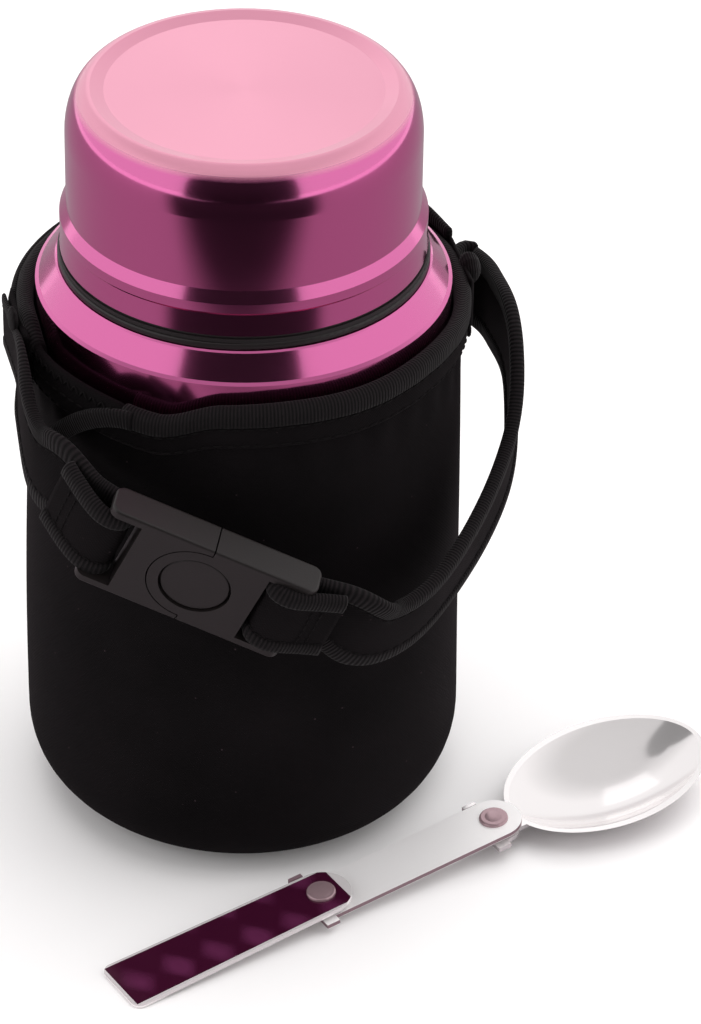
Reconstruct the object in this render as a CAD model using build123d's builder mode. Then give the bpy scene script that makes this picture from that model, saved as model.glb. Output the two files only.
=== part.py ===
from build123d import *
import math
import os

os.makedirs("parts", exist_ok=True)

# Wide-mouth vacuum food jar in a soft sleeve, with a carry strap and a folding spoon.
# Millimetres, +Z up, origin on the floor under the middle of the jar, front is -Y.

# Plays and overruns
overrun = 4.0
full_turn = 360.0
quarter_turn = full_turn / 4
arc_share = math.sqrt(0.5)
free_gap = 0.3
seat_gap = 0.05
pin_gap = 0.05

# Steel jar, standing on the sleeve's floor
sleeve_thick = 2.2
steel = 0.6
jar_floor = sleeve_thick + free_gap
shell_radius = 50.0
shell_corner = 16.0
shell_foot_width = 1.0
shell_hole_radius = shell_radius - shell_corner - shell_foot_width
body_height = 141.7
band_top = jar_floor + body_height
band_step_in = 0.9
band_step_up = 0.5
shoulder_width = 13.4
shoulder_rise = 6.4
shoulder_edge = 0.4
shoulder_top = band_top + shoulder_rise
neck_radius = shell_radius - shoulder_width
neck_height = 13.6
lip_base = shoulder_top + neck_height
lip_thick = 0.8
lip_top = lip_base + lip_thick
base_cap_flange = 0.9
vacuum_seal_radius = 4.0
vacuum_seal_thick = 1.5
vacuum_gap = 3.0
base_gap = 2.8
vessel_radius = shell_radius - steel - vacuum_gap
vessel_floor = jar_floor + 2 * steel + vacuum_seal_thick + base_gap
vessel_corner = 12.0
vessel_shoulder_drop = 4.2
vessel_shoulder = band_top - vessel_shoulder_drop
vessel_neck_drop = 2.0
vessel_neck_base = shoulder_top - vessel_neck_drop
neck_gap = 0.9
vessel_neck_radius = neck_radius - steel - neck_gap
mouth_radius = vessel_neck_radius - steel

# Sleeve, cut to the jar
sleeve_ease = 0.4
sleeve_flare = 1.4
corner_ease = 0.8
sleeve_upper_radius = shell_radius + sleeve_ease + sleeve_thick
sleeve_lower_radius = sleeve_upper_radius + sleeve_flare
sleeve_corner = shell_corner + sleeve_thick + corner_ease
hem_drop = 3.7
hem_top = band_top - hem_drop
hem_depth = 11.0
hem_thick = 1.9
hem_round = 0.8
hem_inner = sleeve_upper_radius - sleeve_thick
hem_leg_radius = sleeve_upper_radius + 2 * seat_gap
hem_outer = hem_leg_radius + hem_thick

# Neck collar and its lug thread
collar_wall = 2.0
lid_lug_height = 0.8
collar_root_radius = neck_radius + collar_wall
collar_crest_radius = collar_root_radius + lid_lug_height
collar_flange_thick = 1.7
collar_drop = 0.4
collar_top = lip_base - collar_drop
collar_round = 0.5
flange_top = shoulder_top + collar_flange_thick
lid_lead = 16.0
lid_starts = 4
lid_lug_turn = 60.0
lug_thick = 1.4
lug_root_extra = 0.4
lug_tip_share = 0.6
lug_flank_gap = 0.35
collar_lug_rise = 5.1
collar_lug_base = flange_top + collar_lug_rise

# Cup lid, stacked up from the collar flange and outwards from its thread
lid_seal_thick = 1.0
lid_seal_width = 2.5
lid_seal_inset = 0.4
lid_seal_base = flange_top + 2 * seat_gap
lid_seal_top = lid_seal_base + lid_seal_thick
lid_thread_gap = 0.35
liner_radius = collar_crest_radius + lid_thread_gap
liner_crest_radius = collar_root_radius + lid_thread_gap
liner_thick = 1.6
liner_gap = 0.35
liner_flange_inset = 0.2
liner_flange_thick = 0.6
liner_corner = 8.0
liner_base = lid_seal_top + 2 * seat_gap
cup_base = liner_base + liner_flange_thick
cup_wall_radius = liner_radius + liner_thick + liner_gap + steel
cup_bead_step = 1.6
cup_bead_groove = 0.4
cup_flare = 0.1
cup_bead_radius = cup_wall_radius + cup_bead_step
cup_bead_neck = cup_bead_radius - cup_bead_groove
cup_rim_radius = cup_bead_radius + cup_flare
liner_flange_radius = cup_rim_radius - liner_flange_inset
cup_band_height = 5.5
cup_bead_height = 3.0
cup_bead_lip = 0.6
cup_step_height = 2.8
cup_wall_height = 18.6
cup_corner_width = 6.1
cup_corner_height = 11.9
cup_bead_base = cup_base + cup_band_height
cup_wall_base = cup_bead_base + cup_bead_height + cup_step_height
cup_corner_base = cup_wall_base + cup_wall_height
cup_flat_radius = cup_wall_radius - cup_corner_width
cup_top = cup_corner_base + cup_corner_height
cup_dish = 0.9
cup_dish_edge = 3.2
cup_dish_radius = cup_flat_radius - cup_dish_edge
cup_foam_inset = 3.0
cup_foam_radius = cup_dish_radius - cup_foam_inset
cup_foam_thick = 1.4
cup_foam_gap = 0.6
liner_top = cup_top - cup_dish - steel - cup_foam_gap - cup_foam_thick

# Flange and shoulder stand out under the cup's rim
flange_margin = 0.6
shoulder_margin = 0.6
collar_flange_radius = cup_rim_radius + flange_margin
shoulder_radius = collar_flange_radius + shoulder_margin
lid_seal_outer = collar_flange_radius - lid_seal_inset
lid_seal_inner = lid_seal_outer - lid_seal_width

# Stopper, hung from the lip in the mouth
plug_play = 1.3
plug_depth = 25.2
plug_wall = 1.5
stopper_thread_gap = 0.3
neck_lug_gap = 0.5
plug_radius = mouth_radius - plug_play
plug_floor = lip_base - plug_depth
plug_crest_radius = mouth_radius - stopper_thread_gap
neck_crest_radius = plug_radius + neck_lug_gap
stopper_lead = 12.0
stopper_starts = 3
stopper_lug_turn = 70.0
neck_lug_rise = 4.6
neck_lug_base = vessel_neck_base + neck_lug_rise
stopper_seal_inner = plug_radius + stopper_thread_gap
stopper_seal_thick = 1.0
stopper_flange_inset = 0.4
stopper_flange_radius = neck_radius - stopper_flange_inset
stopper_flange_thick = 2.2
stopper_seal_base = lip_top + seat_gap
stopper_seal_top = stopper_seal_base + stopper_seal_thick
stopper_flange_base = stopper_seal_top + seat_gap
stopper_flange_top = stopper_flange_base + stopper_flange_thick
stopper_cover_thick = 2.0
grip_height = 2.9
grip_width = 5.2
grip_notches = 30
grip_notch_radius = 0.9
foam_gap = 2.8
foam_top = stopper_flange_top - foam_gap
tube_radius = 5.6
tube_height = 19.0
tube_top = plug_floor + tube_height
stem_radius = 2.6
button_radius = 9.0
button_hole_radius = button_radius + free_gap
button_lift = 0.7
button_height = 3.6
button_floor = stopper_flange_top + button_lift
button_top = button_floor + button_height
button_round = 0.9
valve_seal_radius = 7.5
valve_seal_thick = 1.45
valve_head_radius = 5.5
valve_head_thick = 1.2
spring_inset = 1.0
spring_radius = tube_radius - spring_inset
spring_wire_radius = 0.4
spring_turns = 5.0

# Strap: u runs through the two anchors, b runs to the back, both turned about the jar
strap_turn = 14.0
strap_width = 22.0
strap_thick = 2.6
strap_edge_round = 1.0
strap_play = 0.4
anchor_thick = 0.7
anchor_face = hem_outer + anchor_thick
strap_side = anchor_face + strap_play + strap_thick / 2
tack_drop = 2.0
pivot_height = hem_top - tack_drop
strap_end_drop = 7.0
strap_end_height = pivot_height - strap_end_drop
strap_end_length = 8.0
strap_end_shares = (1.0, 0.5, 0.0, -0.5, -1.0)
guide_rise = 10.0
anchor_width = 18.0
anchor_length = 25.0
anchor_rise = 3.5
anchor_top = hem_top + anchor_rise
anchor_base = anchor_top - anchor_length
anchor_round = 3.0
anchor_join = 5.0
sewn_band_thick = 1.6
sewn_band_start = 12.0
sewn_band_rise_left = -1.5
sewn_band_rise_right = 5.0
sewn_band_width = 20.0
tack_radius = 2.2
tack_head_radius = 4.5
tack_head_thick = 1.0
fold_length = 14.0
fold_step = 7.0
left_fold = {"end": -6.0, "mid": 0.2, "leg_mid": -4.9, "leg_end": -9.2}
right_fold = {"end": -2.2, "mid": 1.0, "leg_mid": -3.9, "leg_end": -5.4}

# Route of the strap: shares of its side along u and b, and of its drop below the strap's ends
strap_drop = 48.5
buckle_place_shares = (-0.439, -1.123, 0.567)
short_run_shares = [(-0.975, -0.632, 0.258), (-1.004, -0.298, 0.082)]
long_run_shares = [
    (0.281, -1.219, 0.979),
    (0.465, -1.132, 1.0),
    (0.649, -0.974, 0.948),
    (0.804, -0.798, 0.880),
    (0.942, -0.623, 0.790),
    (1.056, -0.447, 0.658),
    (1.133, -0.237, 0.431),
    (1.165, -0.018, 0.266),
    (1.165, 0.228, 0.216),
    (1.144, 0.377, 0.186),
    (1.084, 0.461, 0.134),
    (1.025, 0.377, 0.062),
    (1.002, 0.228, 0.019),
]

# Centre-push buckle: length along the strap, width across it, depth through it
buckle_heading = 23.0
buckle_slope = 22.0
buckle_lean = 12.0
rail_width = 2.2
webbing_gap = 0.3
buckle_width = strap_width + 2 * webbing_gap + 2 * rail_width
buckle_depth = 8.4
half_depth = buckle_depth / 2
half_width = buckle_width / 2
rail_corner = 2.4
rail_lip = 0.8
bar_radius = 1.6
left_bar = 23.6
right_bar = 19.8
rail_end = left_bar + bar_radius + rail_lip
left_slot = 4.4
right_slot = 3.6
left_body_end = left_bar - bar_radius - left_slot
right_body_end = right_bar - bar_radius - right_slot
nest_bite = 0.1
nest_gap = 0.3
nest_radius = half_width - rail_width + nest_bite
window_wall = 2.7
window_radius = nest_radius - window_wall
push_play = 0.4
push_radius = window_radius - push_play
push_sink = 0.4
push_top = half_depth - push_sink
push_crown = 0.5
cavity_side = 0.1
cavity_width = 2 * (window_radius + cavity_side)
socket_floor = 1.6
socket_roof = 2.3
cavity_floor = half_depth - socket_floor
cavity_roof = half_depth - socket_roof
tongue_thick = 1.4
tongue_reach = 9.4
prong_wall = 2.0
prong_end = right_body_end - prong_wall
prong_width = 2.6
prong_gap = 0.4
push_travel = 1.8
buckle_round = 0.7

# Folding spoon: s runs from the handle end to the tip, t across, h up from the rim
spoon_shift = 26.9
spoon_clear = 41.6
spoon_place = (-spoon_shift, -sleeve_lower_radius - spoon_clear)
spoon_heading = 33.5
sheet = 1.2
plate_gap = 0.15
washer_thick = 1.0
spoon_length = 171.0
bowl_length = 56.0
bowl_low_reach = 26.0
bowl_neck = 6.0
handle_extra = 7.0
bowl_start = spoon_length - bowl_length
bowl_low = bowl_start + bowl_low_reach
rivet_bowl = bowl_start - bowl_neck
rivet_handle = (rivet_bowl + handle_extra) / 2
rivet_radius = 2.0
rivet_head_radius = 3.6
rivet_head_thick = 0.75
washer_radius = 4.6
handle_end_width = 17.0
handle_neck_width = 15.0
handle_corner = 2.5
link_width = 14.0
tang_radius = 6.6
neck_width = 9.0
bowl_depth = 8.2
bowl_half_width = 20.2
tang_reach = 6.0
ear_length = 3.6
ear_offset = 2.2
ear_wall = 1.1
ear_gap = 0.35


# Profile of a plain ring between two radii and two heights
def ring(inner, outer, low, high):
    width = outer - inner
    height = high - low
    with Locations((inner + width / 2, low + height / 2)):
        Rectangle(width, height)


# Sleeve, the soft holder that stands on the floor
corner_mid = sleeve_lower_radius - sleeve_corner
wall_top = hem_top - hem_thick
hem_base = hem_top - hem_depth
sleeve_inner_corner = sleeve_corner - sleeve_thick

with BuildPart() as sleeve_base:
    with BuildSketch(Plane.XZ) as base_profile:
        ring(0, corner_mid - seat_gap, 0, sleeve_thick)
    revolve(axis=Axis.Z)
sleeve_base.part.label = "sleeve_base"
export_step(sleeve_base.part, "parts/sleeve_base.step")

with BuildPart() as sleeve_wall:
    with BuildSketch(Plane.XZ) as wall_profile:
        with BuildLine() as wall_line:
            outer_arc = ThreePointArc(
                (corner_mid, 0),
                (corner_mid + sleeve_corner * arc_share, sleeve_corner - sleeve_corner * arc_share),
                (sleeve_lower_radius, sleeve_corner),
            )
            wall_side = Polyline(
                outer_arc @ 1,
                (sleeve_upper_radius, hem_base),
                (sleeve_upper_radius, wall_top),
                (sleeve_upper_radius - sleeve_thick, wall_top),
                (sleeve_upper_radius - sleeve_thick, hem_base),
                (sleeve_lower_radius - sleeve_thick, sleeve_corner),
            )
            inner_arc = ThreePointArc(
                wall_side @ 1,
                (
                    corner_mid + sleeve_inner_corner * arc_share,
                    sleeve_corner - sleeve_inner_corner * arc_share,
                ),
                (corner_mid, sleeve_thick),
            )
            Line(inner_arc @ 1, outer_arc @ 0)
        make_face()
    revolve(axis=Axis.Z)
sleeve_wall.part.label = "sleeve_wall"
export_step(sleeve_wall.part, "parts/sleeve_wall.step")

with BuildPart() as sleeve_hem:
    with BuildSketch(Plane.XZ) as hem_profile:
        ring(hem_inner, hem_outer, wall_top, hem_top)
        ring(hem_leg_radius, hem_outer, hem_base, wall_top)
        fillet(hem_profile.vertices().sort_by(Axis.Y)[-2:], hem_round)
    revolve(axis=Axis.Z)
sleeve_hem.part.label = "sleeve_hem"
export_step(sleeve_hem.part, "parts/sleeve_hem.step")

# Strap frame and anchors
turn = math.radians(strap_turn)
strap_frame = Plane(
    origin=(0, 0, 0), x_dir=(math.cos(turn), math.sin(turn), 0), z_dir=(0, 0, 1)
)
strap_side_plane = Plane(
    origin=(0, 0, 0), x_dir=strap_frame.y_dir, z_dir=strap_frame.x_dir
)
strap_front_plane = Plane(
    origin=(0, 0, 0), x_dir=strap_frame.x_dir, z_dir=-strap_frame.y_dir
)

# Band of the strap that is sewn to the hem round the back, a little higher on the right
with BuildPart() as sewn_band:
    with BuildSketch(Plane.XZ) as sewn_band_section:
        ring(hem_outer + seat_gap, hem_outer + sewn_band_thick, anchor_base - overrun, anchor_top + overrun)
    revolve(axis=Axis.Z)
    with BuildSketch(strap_front_plane.offset(-sewn_band_start)) as sewn_band_outline:
        with BuildLine():
            sewn_band_reach = hem_outer + overrun
            Polyline(
                (-sewn_band_reach, hem_top + sewn_band_rise_left),
                (sewn_band_reach, hem_top + sewn_band_rise_right),
                (sewn_band_reach, hem_top + sewn_band_rise_right - sewn_band_width),
                (-sewn_band_reach, hem_top + sewn_band_rise_left - sewn_band_width),
                (-sewn_band_reach, hem_top + sewn_band_rise_left),
            )
        make_face()
    extrude(amount=-sewn_band_reach, mode=Mode.INTERSECT)

with BuildPart() as strap_anchors:
    with BuildSketch(strap_side_plane.offset(-anchor_face)) as anchor_outline:
        with Locations((anchor_join / 2, anchor_base + (anchor_top - anchor_base) / 2)):
            RectangleRounded(anchor_width + anchor_join, anchor_top - anchor_base, anchor_round)
    extrude(amount=2 * anchor_face)
    with BuildSketch(Plane.XY) as anchor_core:
        Circle(hem_outer + seat_gap)
    extrude(amount=hem_top + overrun, mode=Mode.SUBTRACT)
    add(sewn_band.part)
strap_anchors.part.label = "strap_anchors"
export_step(strap_anchors.part, "parts/strap_anchors.step")

tack_head_face = strap_side + strap_thick / 2 + free_gap
with BuildPart() as strap_tacks:
    for side in (1, -1):
        face_plane = Plane(
            origin=strap_frame.from_local_coords((side * anchor_face, 0, pivot_height)),
            z_dir=strap_frame.x_dir * side,
        )
        with BuildSketch(face_plane):
            Circle(tack_radius)
        extrude(amount=tack_head_face + tack_head_thick - anchor_face)
        with BuildSketch(face_plane.offset(tack_head_face - anchor_face)):
            Circle(tack_head_radius)
        extrude(amount=tack_head_thick)
strap_tacks.part.label = "strap_tacks"
export_step(strap_tacks.part, "parts/strap_tacks.step")

# Steel body of the jar
shell_arc_mid = shell_radius - shell_corner
shell_inner_corner = shell_corner - steel
with BuildPart() as outer_shell:
    with BuildSketch(Plane.XZ) as shell_profile:
        with BuildLine() as shell_line:
            shell_foot = Line((shell_hole_radius, jar_floor), (shell_arc_mid, jar_floor))
            shell_arc = ThreePointArc(
                shell_foot @ 1,
                (
                    shell_arc_mid + shell_corner * arc_share,
                    jar_floor + shell_corner - shell_corner * arc_share,
                ),
                (shell_radius, jar_floor + shell_corner),
            )
            shell_side = Polyline(
                shell_arc @ 1,
                (shell_radius, band_top),
                (shell_radius - band_step_in, band_top + band_step_up),
                (shoulder_radius, shoulder_top - shoulder_edge),
                (shoulder_radius - shoulder_edge, shoulder_top),
                (neck_radius, shoulder_top),
                (neck_radius, lip_base),
                (neck_radius - steel, lip_base),
                (neck_radius - steel, shoulder_top - steel),
                (shoulder_radius - steel - shoulder_edge, shoulder_top - steel),
                (shell_radius - band_step_in - steel, band_top + band_step_up - steel / 2),
                (shell_radius - steel, band_top - steel / 2),
                (shell_radius - steel, jar_floor + shell_corner),
            )
            shell_in_arc = ThreePointArc(
                shell_side @ 1,
                (
                    shell_arc_mid + shell_inner_corner * arc_share,
                    jar_floor + shell_corner - shell_inner_corner * arc_share,
                ),
                (shell_arc_mid, jar_floor + steel),
            )
            Polyline(
                shell_in_arc @ 1, (shell_hole_radius, jar_floor + steel), shell_foot @ 0
            )
        make_face()
    revolve(axis=Axis.Z)
outer_shell.part.label = "outer_shell"
export_step(outer_shell.part, "parts/outer_shell.step")

base_inside = jar_floor + steel
with BuildPart() as base_cap:
    with BuildSketch(Plane.XZ) as cap_profile:
        ring(0, shell_hole_radius - seat_gap, jar_floor, base_inside)
        ring(0, shell_hole_radius + base_cap_flange, base_inside, base_inside + steel)
    revolve(axis=Axis.Z)
base_cap.part.label = "base_cap"
export_step(base_cap.part, "parts/base_cap.step")

with BuildPart() as vacuum_seal:
    with BuildSketch(Plane.XY.offset(base_inside + steel)):
        Circle(vacuum_seal_radius)
    extrude(amount=vacuum_seal_thick)
vacuum_seal.part.label = "vacuum_seal"
export_step(vacuum_seal.part, "parts/vacuum_seal.step")


# One rib of a screw thread, from its root radius to its tip radius
def lug(root, tip, base, lead, lug_turn, start):
    first = math.radians(start)
    thick_tip = lug_thick * lug_tip_share
    rise = lead * lug_turn / full_turn
    path = Helix(pitch=lead, height=rise, radius=root)
    section_plane = Plane(origin=(root, 0, 0), x_dir=(1, 0, 0), z_dir=path % 0)
    section = Polygon(
        (0, -lug_thick / 2),
        (tip - root, -thick_tip / 2),
        (tip - root, thick_tip / 2),
        (0, lug_thick / 2),
        align=None,
    )
    body = sweep(section_plane * section, path=path, is_frenet=True)
    return Pos(0, 0, base) * Rot(0, 0, math.degrees(first)) * body


vessel_arc_mid = vessel_radius - vessel_corner
vessel_in_corner = vessel_corner - steel
neck_lugs = [
    lug(
        mouth_radius + steel / 2,
        neck_crest_radius,
        neck_lug_base,
        stopper_lead,
        stopper_lug_turn,
        full_turn * start / stopper_starts,
    )
    for start in range(stopper_starts)
]
with BuildPart() as inner_vessel:
    with BuildSketch(Plane.XZ) as vessel_profile:
        with BuildLine() as vessel_line:
            vessel_foot = Line((0, vessel_floor), (vessel_arc_mid, vessel_floor))
            vessel_arc = ThreePointArc(
                vessel_foot @ 1,
                (
                    vessel_arc_mid + vessel_corner * arc_share,
                    vessel_floor + vessel_corner - vessel_corner * arc_share,
                ),
                (vessel_radius, vessel_floor + vessel_corner),
            )
            vessel_side = Polyline(
                vessel_arc @ 1,
                (vessel_radius, vessel_shoulder),
                (vessel_neck_radius, vessel_neck_base),
                (vessel_neck_radius, lip_base),
                (neck_radius, lip_base),
                (neck_radius, lip_top),
                (mouth_radius, lip_top),
                (mouth_radius, vessel_neck_base - steel / 2),
                (vessel_radius - steel, vessel_shoulder - steel / 2),
                (vessel_radius - steel, vessel_floor + vessel_corner),
            )
            vessel_in_arc = ThreePointArc(
                vessel_side @ 1,
                (
                    vessel_arc_mid + vessel_in_corner * arc_share,
                    vessel_floor + vessel_corner - vessel_in_corner * arc_share,
                ),
                (vessel_arc_mid, vessel_floor + steel),
            )
            Polyline(vessel_in_arc @ 1, (0, vessel_floor + steel), vessel_foot @ 0)
        make_face()
    revolve(axis=Axis.Z)
    add(neck_lugs)
inner_vessel.part.label = "inner_vessel"
export_step(inner_vessel.part, "parts/inner_vessel.step")

# Collar that carries the thread for the cup lid
collar_lugs = [
    lug(
        collar_root_radius - lug_root_extra,
        collar_crest_radius,
        collar_lug_base,
        lid_lead,
        lid_lug_turn,
        full_turn * start / lid_starts,
    )
    for start in range(lid_starts)
]
with BuildPart() as neck_collar:
    with BuildSketch(Plane.XZ) as collar_profile:
        ring(neck_radius + 2 * seat_gap, collar_flange_radius, shoulder_top, flange_top)
        ring(neck_radius + 2 * seat_gap, collar_root_radius, flange_top, collar_top)
        fillet(collar_profile.vertices().sort_by(Axis.X)[-2:], collar_round)
    revolve(axis=Axis.Z)
    add(collar_lugs)
neck_collar.part.label = "neck_collar"
export_step(neck_collar.part, "parts/neck_collar.step")

# Cup lid
with BuildPart() as lid_seal:
    with BuildSketch(Plane.XZ) as lid_seal_profile:
        ring(lid_seal_inner, lid_seal_outer, lid_seal_base, lid_seal_top)
    revolve(axis=Axis.Z)
lid_seal.part.label = "lid_seal"
export_step(lid_seal.part, "parts/lid_seal.step")

liner_outer = liner_radius + liner_thick
liner_lug_base = collar_lug_base - lug_thick - lug_flank_gap
liner_lugs = [
    lug(
        liner_radius + lug_root_extra,
        liner_crest_radius,
        liner_lug_base,
        lid_lead,
        lid_lug_turn,
        full_turn * start / lid_starts,
    )
    for start in range(lid_starts)
]
with BuildPart() as cup_liner:
    with BuildSketch(Plane.XZ) as liner_profile:
        ring(liner_radius, liner_flange_radius, liner_base, cup_base)
        ring(0, liner_outer, cup_base, liner_top)
        fillet(liner_profile.vertices().group_by(Axis.Y)[-1].sort_by(Axis.X)[-1], liner_corner)
        with BuildSketch(mode=Mode.PRIVATE) as liner_hollow:
            ring(0, liner_radius, cup_base - overrun, liner_top - liner_thick)
            hollow_top = liner_hollow.vertices().group_by(Axis.Y)[-1].sort_by(Axis.X)[-1]
            fillet(hollow_top, liner_corner - liner_thick)
        add(liner_hollow.sketch, mode=Mode.SUBTRACT)
    revolve(axis=Axis.Z)
    add(liner_lugs)
cup_liner.part.label = "cup_liner"
export_step(cup_liner.part, "parts/cup_liner.step")

cup_foam_base = liner_top
with BuildPart() as cup_foam:
    with BuildSketch(Plane.XY.offset(cup_foam_base)):
        Circle(cup_foam_radius)
    extrude(amount=cup_foam_thick)
cup_foam.part.label = "cup_foam"
export_step(cup_foam.part, "parts/cup_foam.step")

with BuildPart() as cup_shell:
    with BuildSketch(Plane.XZ) as cup_profile:
        with BuildLine() as cup_line:
            cup_side = Polyline(
                (cup_rim_radius, cup_base),
                (cup_bead_neck, cup_bead_base),
                (cup_bead_radius, cup_bead_base + cup_bead_lip),
                (cup_bead_radius, cup_bead_base + cup_bead_height),
                (cup_wall_radius, cup_wall_base),
                (cup_wall_radius, cup_corner_base),
            )
            cup_corner = EllipticalCenterArc(
                (cup_flat_radius, cup_corner_base),
                cup_corner_width,
                cup_corner_height,
                start_angle=0,
                arc_size=quarter_turn,
            )
            Polyline(
                (cup_flat_radius, cup_top),
                (cup_dish_radius, cup_top - cup_dish),
                (0, cup_top - cup_dish),
                (0, cup_top - cup_dish - steel),
                (cup_dish_radius, cup_top - cup_dish - steel),
                (cup_flat_radius, cup_top - steel),
            )
            cup_inner_corner = EllipticalCenterArc(
                (cup_flat_radius, cup_corner_base),
                cup_corner_width - steel,
                cup_corner_height - steel,
                start_angle=0,
                arc_size=quarter_turn,
            )
            Polyline(
                cup_inner_corner @ 0,
                (cup_wall_radius - steel, cup_wall_base),
                (cup_bead_radius - 2 * steel, cup_bead_base + cup_bead_height),
                (cup_rim_radius - steel, cup_base),
                (cup_rim_radius, cup_base),
            )
        make_face()
    revolve(axis=Axis.Z)
cup_shell.part.label = "cup_shell"
export_step(cup_shell.part, "parts/cup_shell.step")

# Stopper
with BuildPart() as stopper_seal:
    with BuildSketch(Plane.XZ) as stopper_seal_profile:
        ring(stopper_seal_inner, stopper_flange_radius, stopper_seal_base, stopper_seal_top)
    revolve(axis=Axis.Z)
stopper_seal.part.label = "stopper_seal"
export_step(stopper_seal.part, "parts/stopper_seal.step")

plug_inside = plug_radius - plug_wall
tube_bore = stem_radius + 2 * pin_gap
plug_lug_base = neck_lug_base - lug_thick - lug_flank_gap
plug_lugs = [
    lug(
        plug_radius - lug_root_extra,
        plug_crest_radius,
        plug_lug_base,
        stopper_lead,
        stopper_lug_turn,
        full_turn * start / stopper_starts,
    )
    for start in range(stopper_starts)
]
with BuildPart() as stopper_body:
    with BuildSketch(Plane.XZ) as plug_profile:
        ring(tube_bore, plug_radius, plug_floor, plug_floor + plug_wall)
        ring(tube_bore, tube_radius, plug_floor, tube_top)
        ring(plug_inside, plug_radius, plug_floor, stopper_flange_top)
        ring(plug_inside, stopper_flange_radius, stopper_flange_base, stopper_flange_top)
    revolve(axis=Axis.Z)
    add(plug_lugs)
stopper_body.part.label = "stopper_body"
export_step(stopper_body.part, "parts/stopper_body.step")

with BuildPart() as stopper_foam:
    with BuildSketch(Plane.XZ) as foam_profile:
        ring(
            tube_radius + free_gap,
            plug_inside - free_gap,
            plug_floor + plug_wall,
            foam_top,
        )
    revolve(axis=Axis.Z)
stopper_foam.part.label = "stopper_foam"
export_step(stopper_foam.part, "parts/stopper_foam.step")

cover_top = stopper_flange_top + stopper_cover_thick
with BuildPart() as stopper_cover:
    with BuildSketch(Plane.XZ) as cover_profile:
        ring(button_hole_radius, stopper_flange_radius, stopper_flange_top, cover_top)
        ring(
            stopper_flange_radius - grip_width,
            stopper_flange_radius,
            cover_top,
            cover_top + grip_height,
        )
    revolve(axis=Axis.Z)
    with BuildSketch(Plane.XY.offset(cover_top)) as grip_sketch:
        with PolarLocations(stopper_flange_radius, grip_notches):
            Circle(grip_notch_radius)
    extrude(amount=grip_height + overrun, mode=Mode.SUBTRACT)
stopper_cover.part.label = "stopper_cover"
export_step(stopper_cover.part, "parts/stopper_cover.step")

valve_seal_top = plug_floor - seat_gap
valve_head_top = valve_seal_top - valve_seal_thick
with BuildPart() as valve_button:
    with BuildSketch(Plane.XZ) as button_profile:
        ring(0, button_radius, button_floor, button_top)
        fillet(button_profile.vertices().group_by(Axis.Y)[-1].sort_by(Axis.X)[-1], button_round)
        ring(0, stem_radius, valve_head_top, button_floor)
        ring(0, valve_head_radius, valve_head_top - valve_head_thick, valve_head_top)
    revolve(axis=Axis.Z)
valve_button.part.label = "valve_button"
export_step(valve_button.part, "parts/valve_button.step")

with BuildPart() as valve_seal:
    with BuildSketch(Plane.XZ) as valve_seal_profile:
        ring(stem_radius + seat_gap, valve_seal_radius, valve_head_top, valve_seal_top)
    revolve(axis=Axis.Z)
valve_seal.part.label = "valve_seal"
export_step(valve_seal.part, "parts/valve_seal.step")

spring_height = button_floor - tube_top - 2 * spring_wire_radius - 2 * seat_gap
spring_path = Helix(
    pitch=spring_height / spring_turns, height=spring_height, radius=spring_radius
)
spring_base = tube_top + spring_wire_radius + seat_gap
with BuildPart() as valve_spring:
    with BuildSketch(Plane(spring_path @ 0, z_dir=spring_path % 0)):
        Circle(spring_wire_radius)
    sweep(path=spring_path, is_frenet=True)
valve_spring.part.position = (0, 0, spring_base)
valve_spring.part.label = "valve_spring"
export_step(valve_spring.part, "parts/valve_spring.step")


# Place on the strap's route from its shares
def strap_place(shares):
    return (
        shares[0] * strap_side,
        shares[1] * strap_side,
        strap_end_height - shares[2] * strap_drop,
    )


# Buckle frame: x along the strap, y across it upwards, z out of its face
heading = math.radians(buckle_heading)
slope = math.radians(buckle_slope)
along = (
    math.cos(slope) * math.cos(heading),
    -math.cos(slope) * math.sin(heading),
    -math.sin(slope),
)
outward = (-math.sin(heading), -math.cos(heading), 0)
buckle_upright = Plane(
    origin=strap_frame.from_local_coords(strap_place(buckle_place_shares)),
    x_dir=strap_frame.x_dir * along[0] + strap_frame.y_dir * along[1] + Vector(0, 0, along[2]),
    z_dir=strap_frame.x_dir * outward[0] + strap_frame.y_dir * outward[1],
)
buckle_frame = buckle_upright.rotated((buckle_lean, 0, 0))
body_width = buckle_width - 2 * rail_width
rail_mid = half_width - rail_width / 2


# Side rails from near to far with the webbing bar between them
def rails_and_bar(bar, near, far):
    with BuildPart() as frame:
        with BuildSketch(buckle_frame.offset(-half_depth)):
            with Locations(((near + far) / 2, rail_mid), ((near + far) / 2, -rail_mid)):
                Rectangle(abs(far - near), rail_width)
        extrude(amount=buckle_depth)
        across = frame.edges().filter_by(Axis(buckle_frame.origin, buckle_frame.y_dir))
        order = across.sort_by(Axis(buckle_frame.origin, buckle_frame.x_dir))
        fillet(order[-4:] if far > near else order[:4], rail_corner)
        length = frame.edges().filter_by(Axis(buckle_frame.origin, buckle_frame.x_dir))
        order = length.sort_by(Axis(buckle_frame.origin, buckle_frame.y_dir))
        fillet(order[:2] + order[-2:], buckle_round)
        with BuildSketch(bar_plane):
            with Locations((bar, 0)):
                Circle(bar_radius)
        extrude(amount=rail_mid, both=True)
    return frame.part


bar_plane = Plane(buckle_frame.origin, x_dir=buckle_frame.x_dir, z_dir=-buckle_frame.y_dir)
plug_frame = rails_and_bar(-left_bar, -seat_gap, -rail_end)
socket_frame = rails_and_bar(right_bar, nest_gap, rail_end)
inner_width = buckle_width - rail_width
prong_mid = cavity_width / 2 - prong_gap - prong_width / 2

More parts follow.
